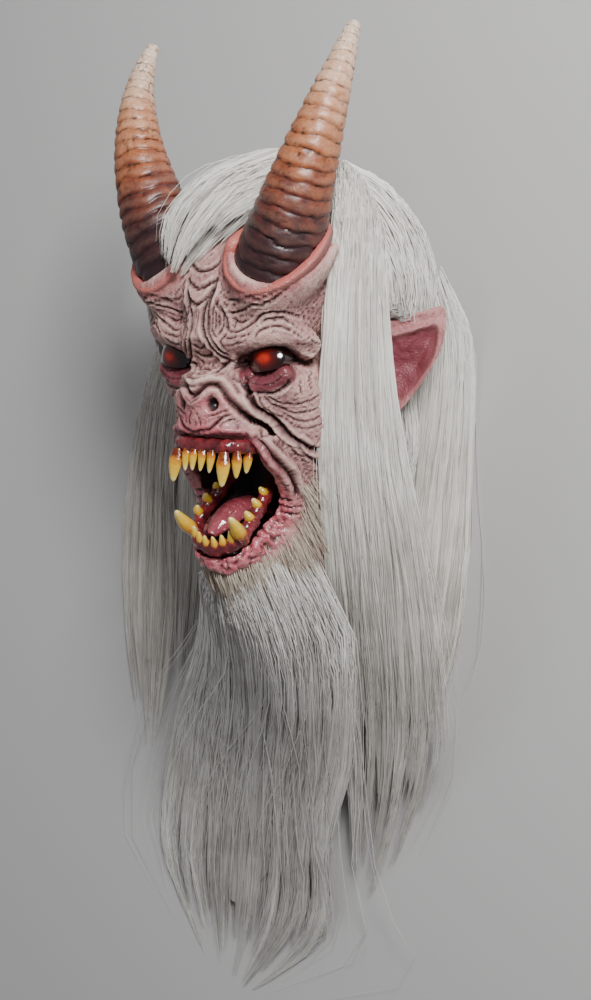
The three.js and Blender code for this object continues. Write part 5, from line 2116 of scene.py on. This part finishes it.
@dataclass
class JawFurPiece:
    """Short fur along the jaw, from just under the lower lip to the beard."""

    count: int = 2600
    seed: int = 31
    length: tuple[float, float] = (9.0, 26.0)
    band: float = 30.0
    steps: int = 5

    def build(self, form: HeadForm, material: Material) -> Piece:
        """Makes the fur.

        Args:
            form: The head that the fur grows on.
            material: The fur's finish.

        Returns:
            The fur.
        """
        generator = np.random.default_rng(self.seed)
        lip = form.lip_line()
        lower = curve_through(lip[6:], 60)
        pick = generator.integers(0, len(lower), self.count)
        side = generator.choice([-1.0, 1.0], self.count)
        base = lower[pick] * np.column_stack([side, np.ones(self.count), np.ones(self.count)])
        centre = np.array([0.0, -112.0, 40.0])
        outward = unit((base - centre) * np.array([1.0, 1.0, 0.25]))
        away = 5.0 + self.band * generator.uniform(0, 1, self.count) ** 0.9
        drop = np.array([0.0, 0.0, -1.0]) * (away * 0.55)[:, None]
        root = base + outward * away[:, None] + drop
        root = self.settle(form, root)
        way = unit(outward * np.array([0.5, 1.0, 0.4]) + np.array([0.0, -0.9, 0.12])
                   + generator.normal(0, 0.16, (self.count, 3)))
        long = generator.uniform(*self.length, self.count) * (0.55 + 0.6 * away / self.band)
        share = np.linspace(0, 1, self.steps)[None, :, None]
        droop = np.array([0.0, -0.35, -0.55]) * (long[:, None, None] * share ** 2)
        paths = root[:, None] + way[:, None] * long[:, None, None] * share * 0.85 + droop
        paths = paths + generator.normal(0, 0.25, paths.shape) * share
        radius = generator.uniform(0.22, 0.42, self.count)[:, None] * np.array([[1.0, 1.0, 0.85, 0.6, 0.2]])
        tones = np.clip(generator.normal(0.62, 0.22, self.count), 0.02, 1)
        fur = StrandModel(self.steps - 2).copies("jaw_fur", paths, radius, tones)
        finish_piece(fur, material, "beard", crease=80.0)
        return fur

    @staticmethod
    def settle(form: HeadForm, places: Array) -> Array:
        """Moves places onto the head's surface along its slope."""
        settled = places.copy()
        for _ in range(6):
            gap = form.face(settled)
            slope = np.stack([form.face(settled + step) - gap for step in np.eye(3)], axis=-1)
            settled = settled - unit(slope) * (gap + 1.0)[:, None] * 0.8
        return settled


# Stage


@dataclass
class Studio:
    """A plain pale floor, soft lights, and the camera at the photograph's viewing angle."""

    target: Place = (0.004, -0.170, 0.112)
    toward: Place = (0.6089, 0.1478, 0.7793)
    distance: float = 1.344
    lens: float = 56.0
    film: float = 36.0
    floor_half: float = 3.0
    floor_colour: Colour = rgb(0.50, 0.49, 0.48)

    def camera(self) -> None:
        """Places the camera."""
        data = bpy.data.cameras.new("camera")
        data.lens = self.lens
        data.sensor_fit = "VERTICAL"
        data.sensor_width = self.film
        data.sensor_height = self.film
        camera = bpy.data.objects.new("camera", data)
        bpy.context.collection.objects.link(camera)
        toward = Vector(self.toward).normalized()
        upward = Vector((0, 1, 0))
        right = upward.cross(toward).normalized()
        upward = toward.cross(right)
        place = Vector(self.target) + toward * self.distance
        rotation = (right, upward, toward)
        matrix = camera.matrix_world.copy()
        for column in range(3):
            for row in range(3):
                matrix[row][column] = rotation[column][row]
        matrix.translation = place
        camera.matrix_world = matrix
        bpy.context.scene.camera = camera

    def floor(self) -> None:
        """Lays the floor."""
        clear_selection()
        bpy.ops.mesh.primitive_plane_add(size=2 * self.floor_half, location=(0, 0, -0.0005))
        floor = bpy.context.object
        floor.name = "floor"
        material, tree = new_material("floor")
        close_material(tree, {"Base Color": self.floor_colour, "Roughness": 0.85})
        floor.data.materials.append(material)

    def light(self, name: str, place: Place, size: float, power: float) -> None:
        """Hangs one soft light that looks at the mask."""
        data = bpy.data.lights.new(name, "AREA")
        data.shape = "DISK"
        data.size = size
        data.energy = power
        lamp = bpy.data.objects.new(name, data)
        bpy.context.collection.objects.link(lamp)
        lamp.location = place
        aim = Vector(self.target) - Vector(place)
        lamp.rotation_euler = aim.to_track_quat("-Z", "Y").to_euler()

    def build(self) -> None:
        """Sets up the whole stage."""
        self.camera()
        self.floor()
        self.light("key", (1.25, 0.95, 1.25), 0.55, 60.0)
        self.light("fill", (-1.3, -0.5, 1.5), 1.6, 5.0)
        bpy.data.objects["fill"].visible_glossy = False
        world = bpy.data.worlds.new("studio")
        world.use_nodes = True
        world.node_tree.nodes["Background"].inputs["Color"].default_value = rgb(0.9, 0.93, 1.0)
        world.node_tree.nodes["Background"].inputs["Strength"].default_value = 0.22
        bpy.context.scene.world = world


def main() -> None:
    """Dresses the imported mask, piece by piece."""
    logging.basicConfig(level=logging.INFO, format="%(message)s")
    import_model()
    Studio().build()
    form = HeadForm()
    skin = SkinPiece(form)
    horns = HornPiece()
    skin.build(horns)
    horn_finish = HornFinish().build()
    eye_finish = EyeFinish().build()
    for side, label in ((1, "left"), (-1, "right")):
        horns.build(side, f"horn_{label}", horn_finish)
        EyePiece().build(side, f"eye_{label}", skin, eye_finish)
    tooth_finish = ToothFinish().build()
    for jaw in (UPPER_JAW, LOWER_JAW):
        jaw.build(tooth_finish)
    TonguePiece().build()
    white = HairFinish("hair", rgb(0.20, 0.17, 0.145), rgb(0.55, 0.52, 0.475), rgb(0.86, 0.84, 0.79)).build()
    grey = HairFinish("beard", rgb(0.16, 0.14, 0.125), rgb(0.46, 0.435, 0.40), rgb(0.80, 0.78, 0.74)).build()
    tan = HairFinish("jaw_fur", rgb(0.13, 0.09, 0.06), rgb(0.40, 0.31, 0.235), rgb(0.70, 0.62, 0.52)).build()
    CrownPiece().build(form, white)
    for lock in LOCKS:
        lock.build(white, "hair", None)
    BEARD.build(grey, "beard", form.room("beard_room", 0.6))
    JawFurPiece().build(form, tan)


if __name__ == "__main__":
    main()
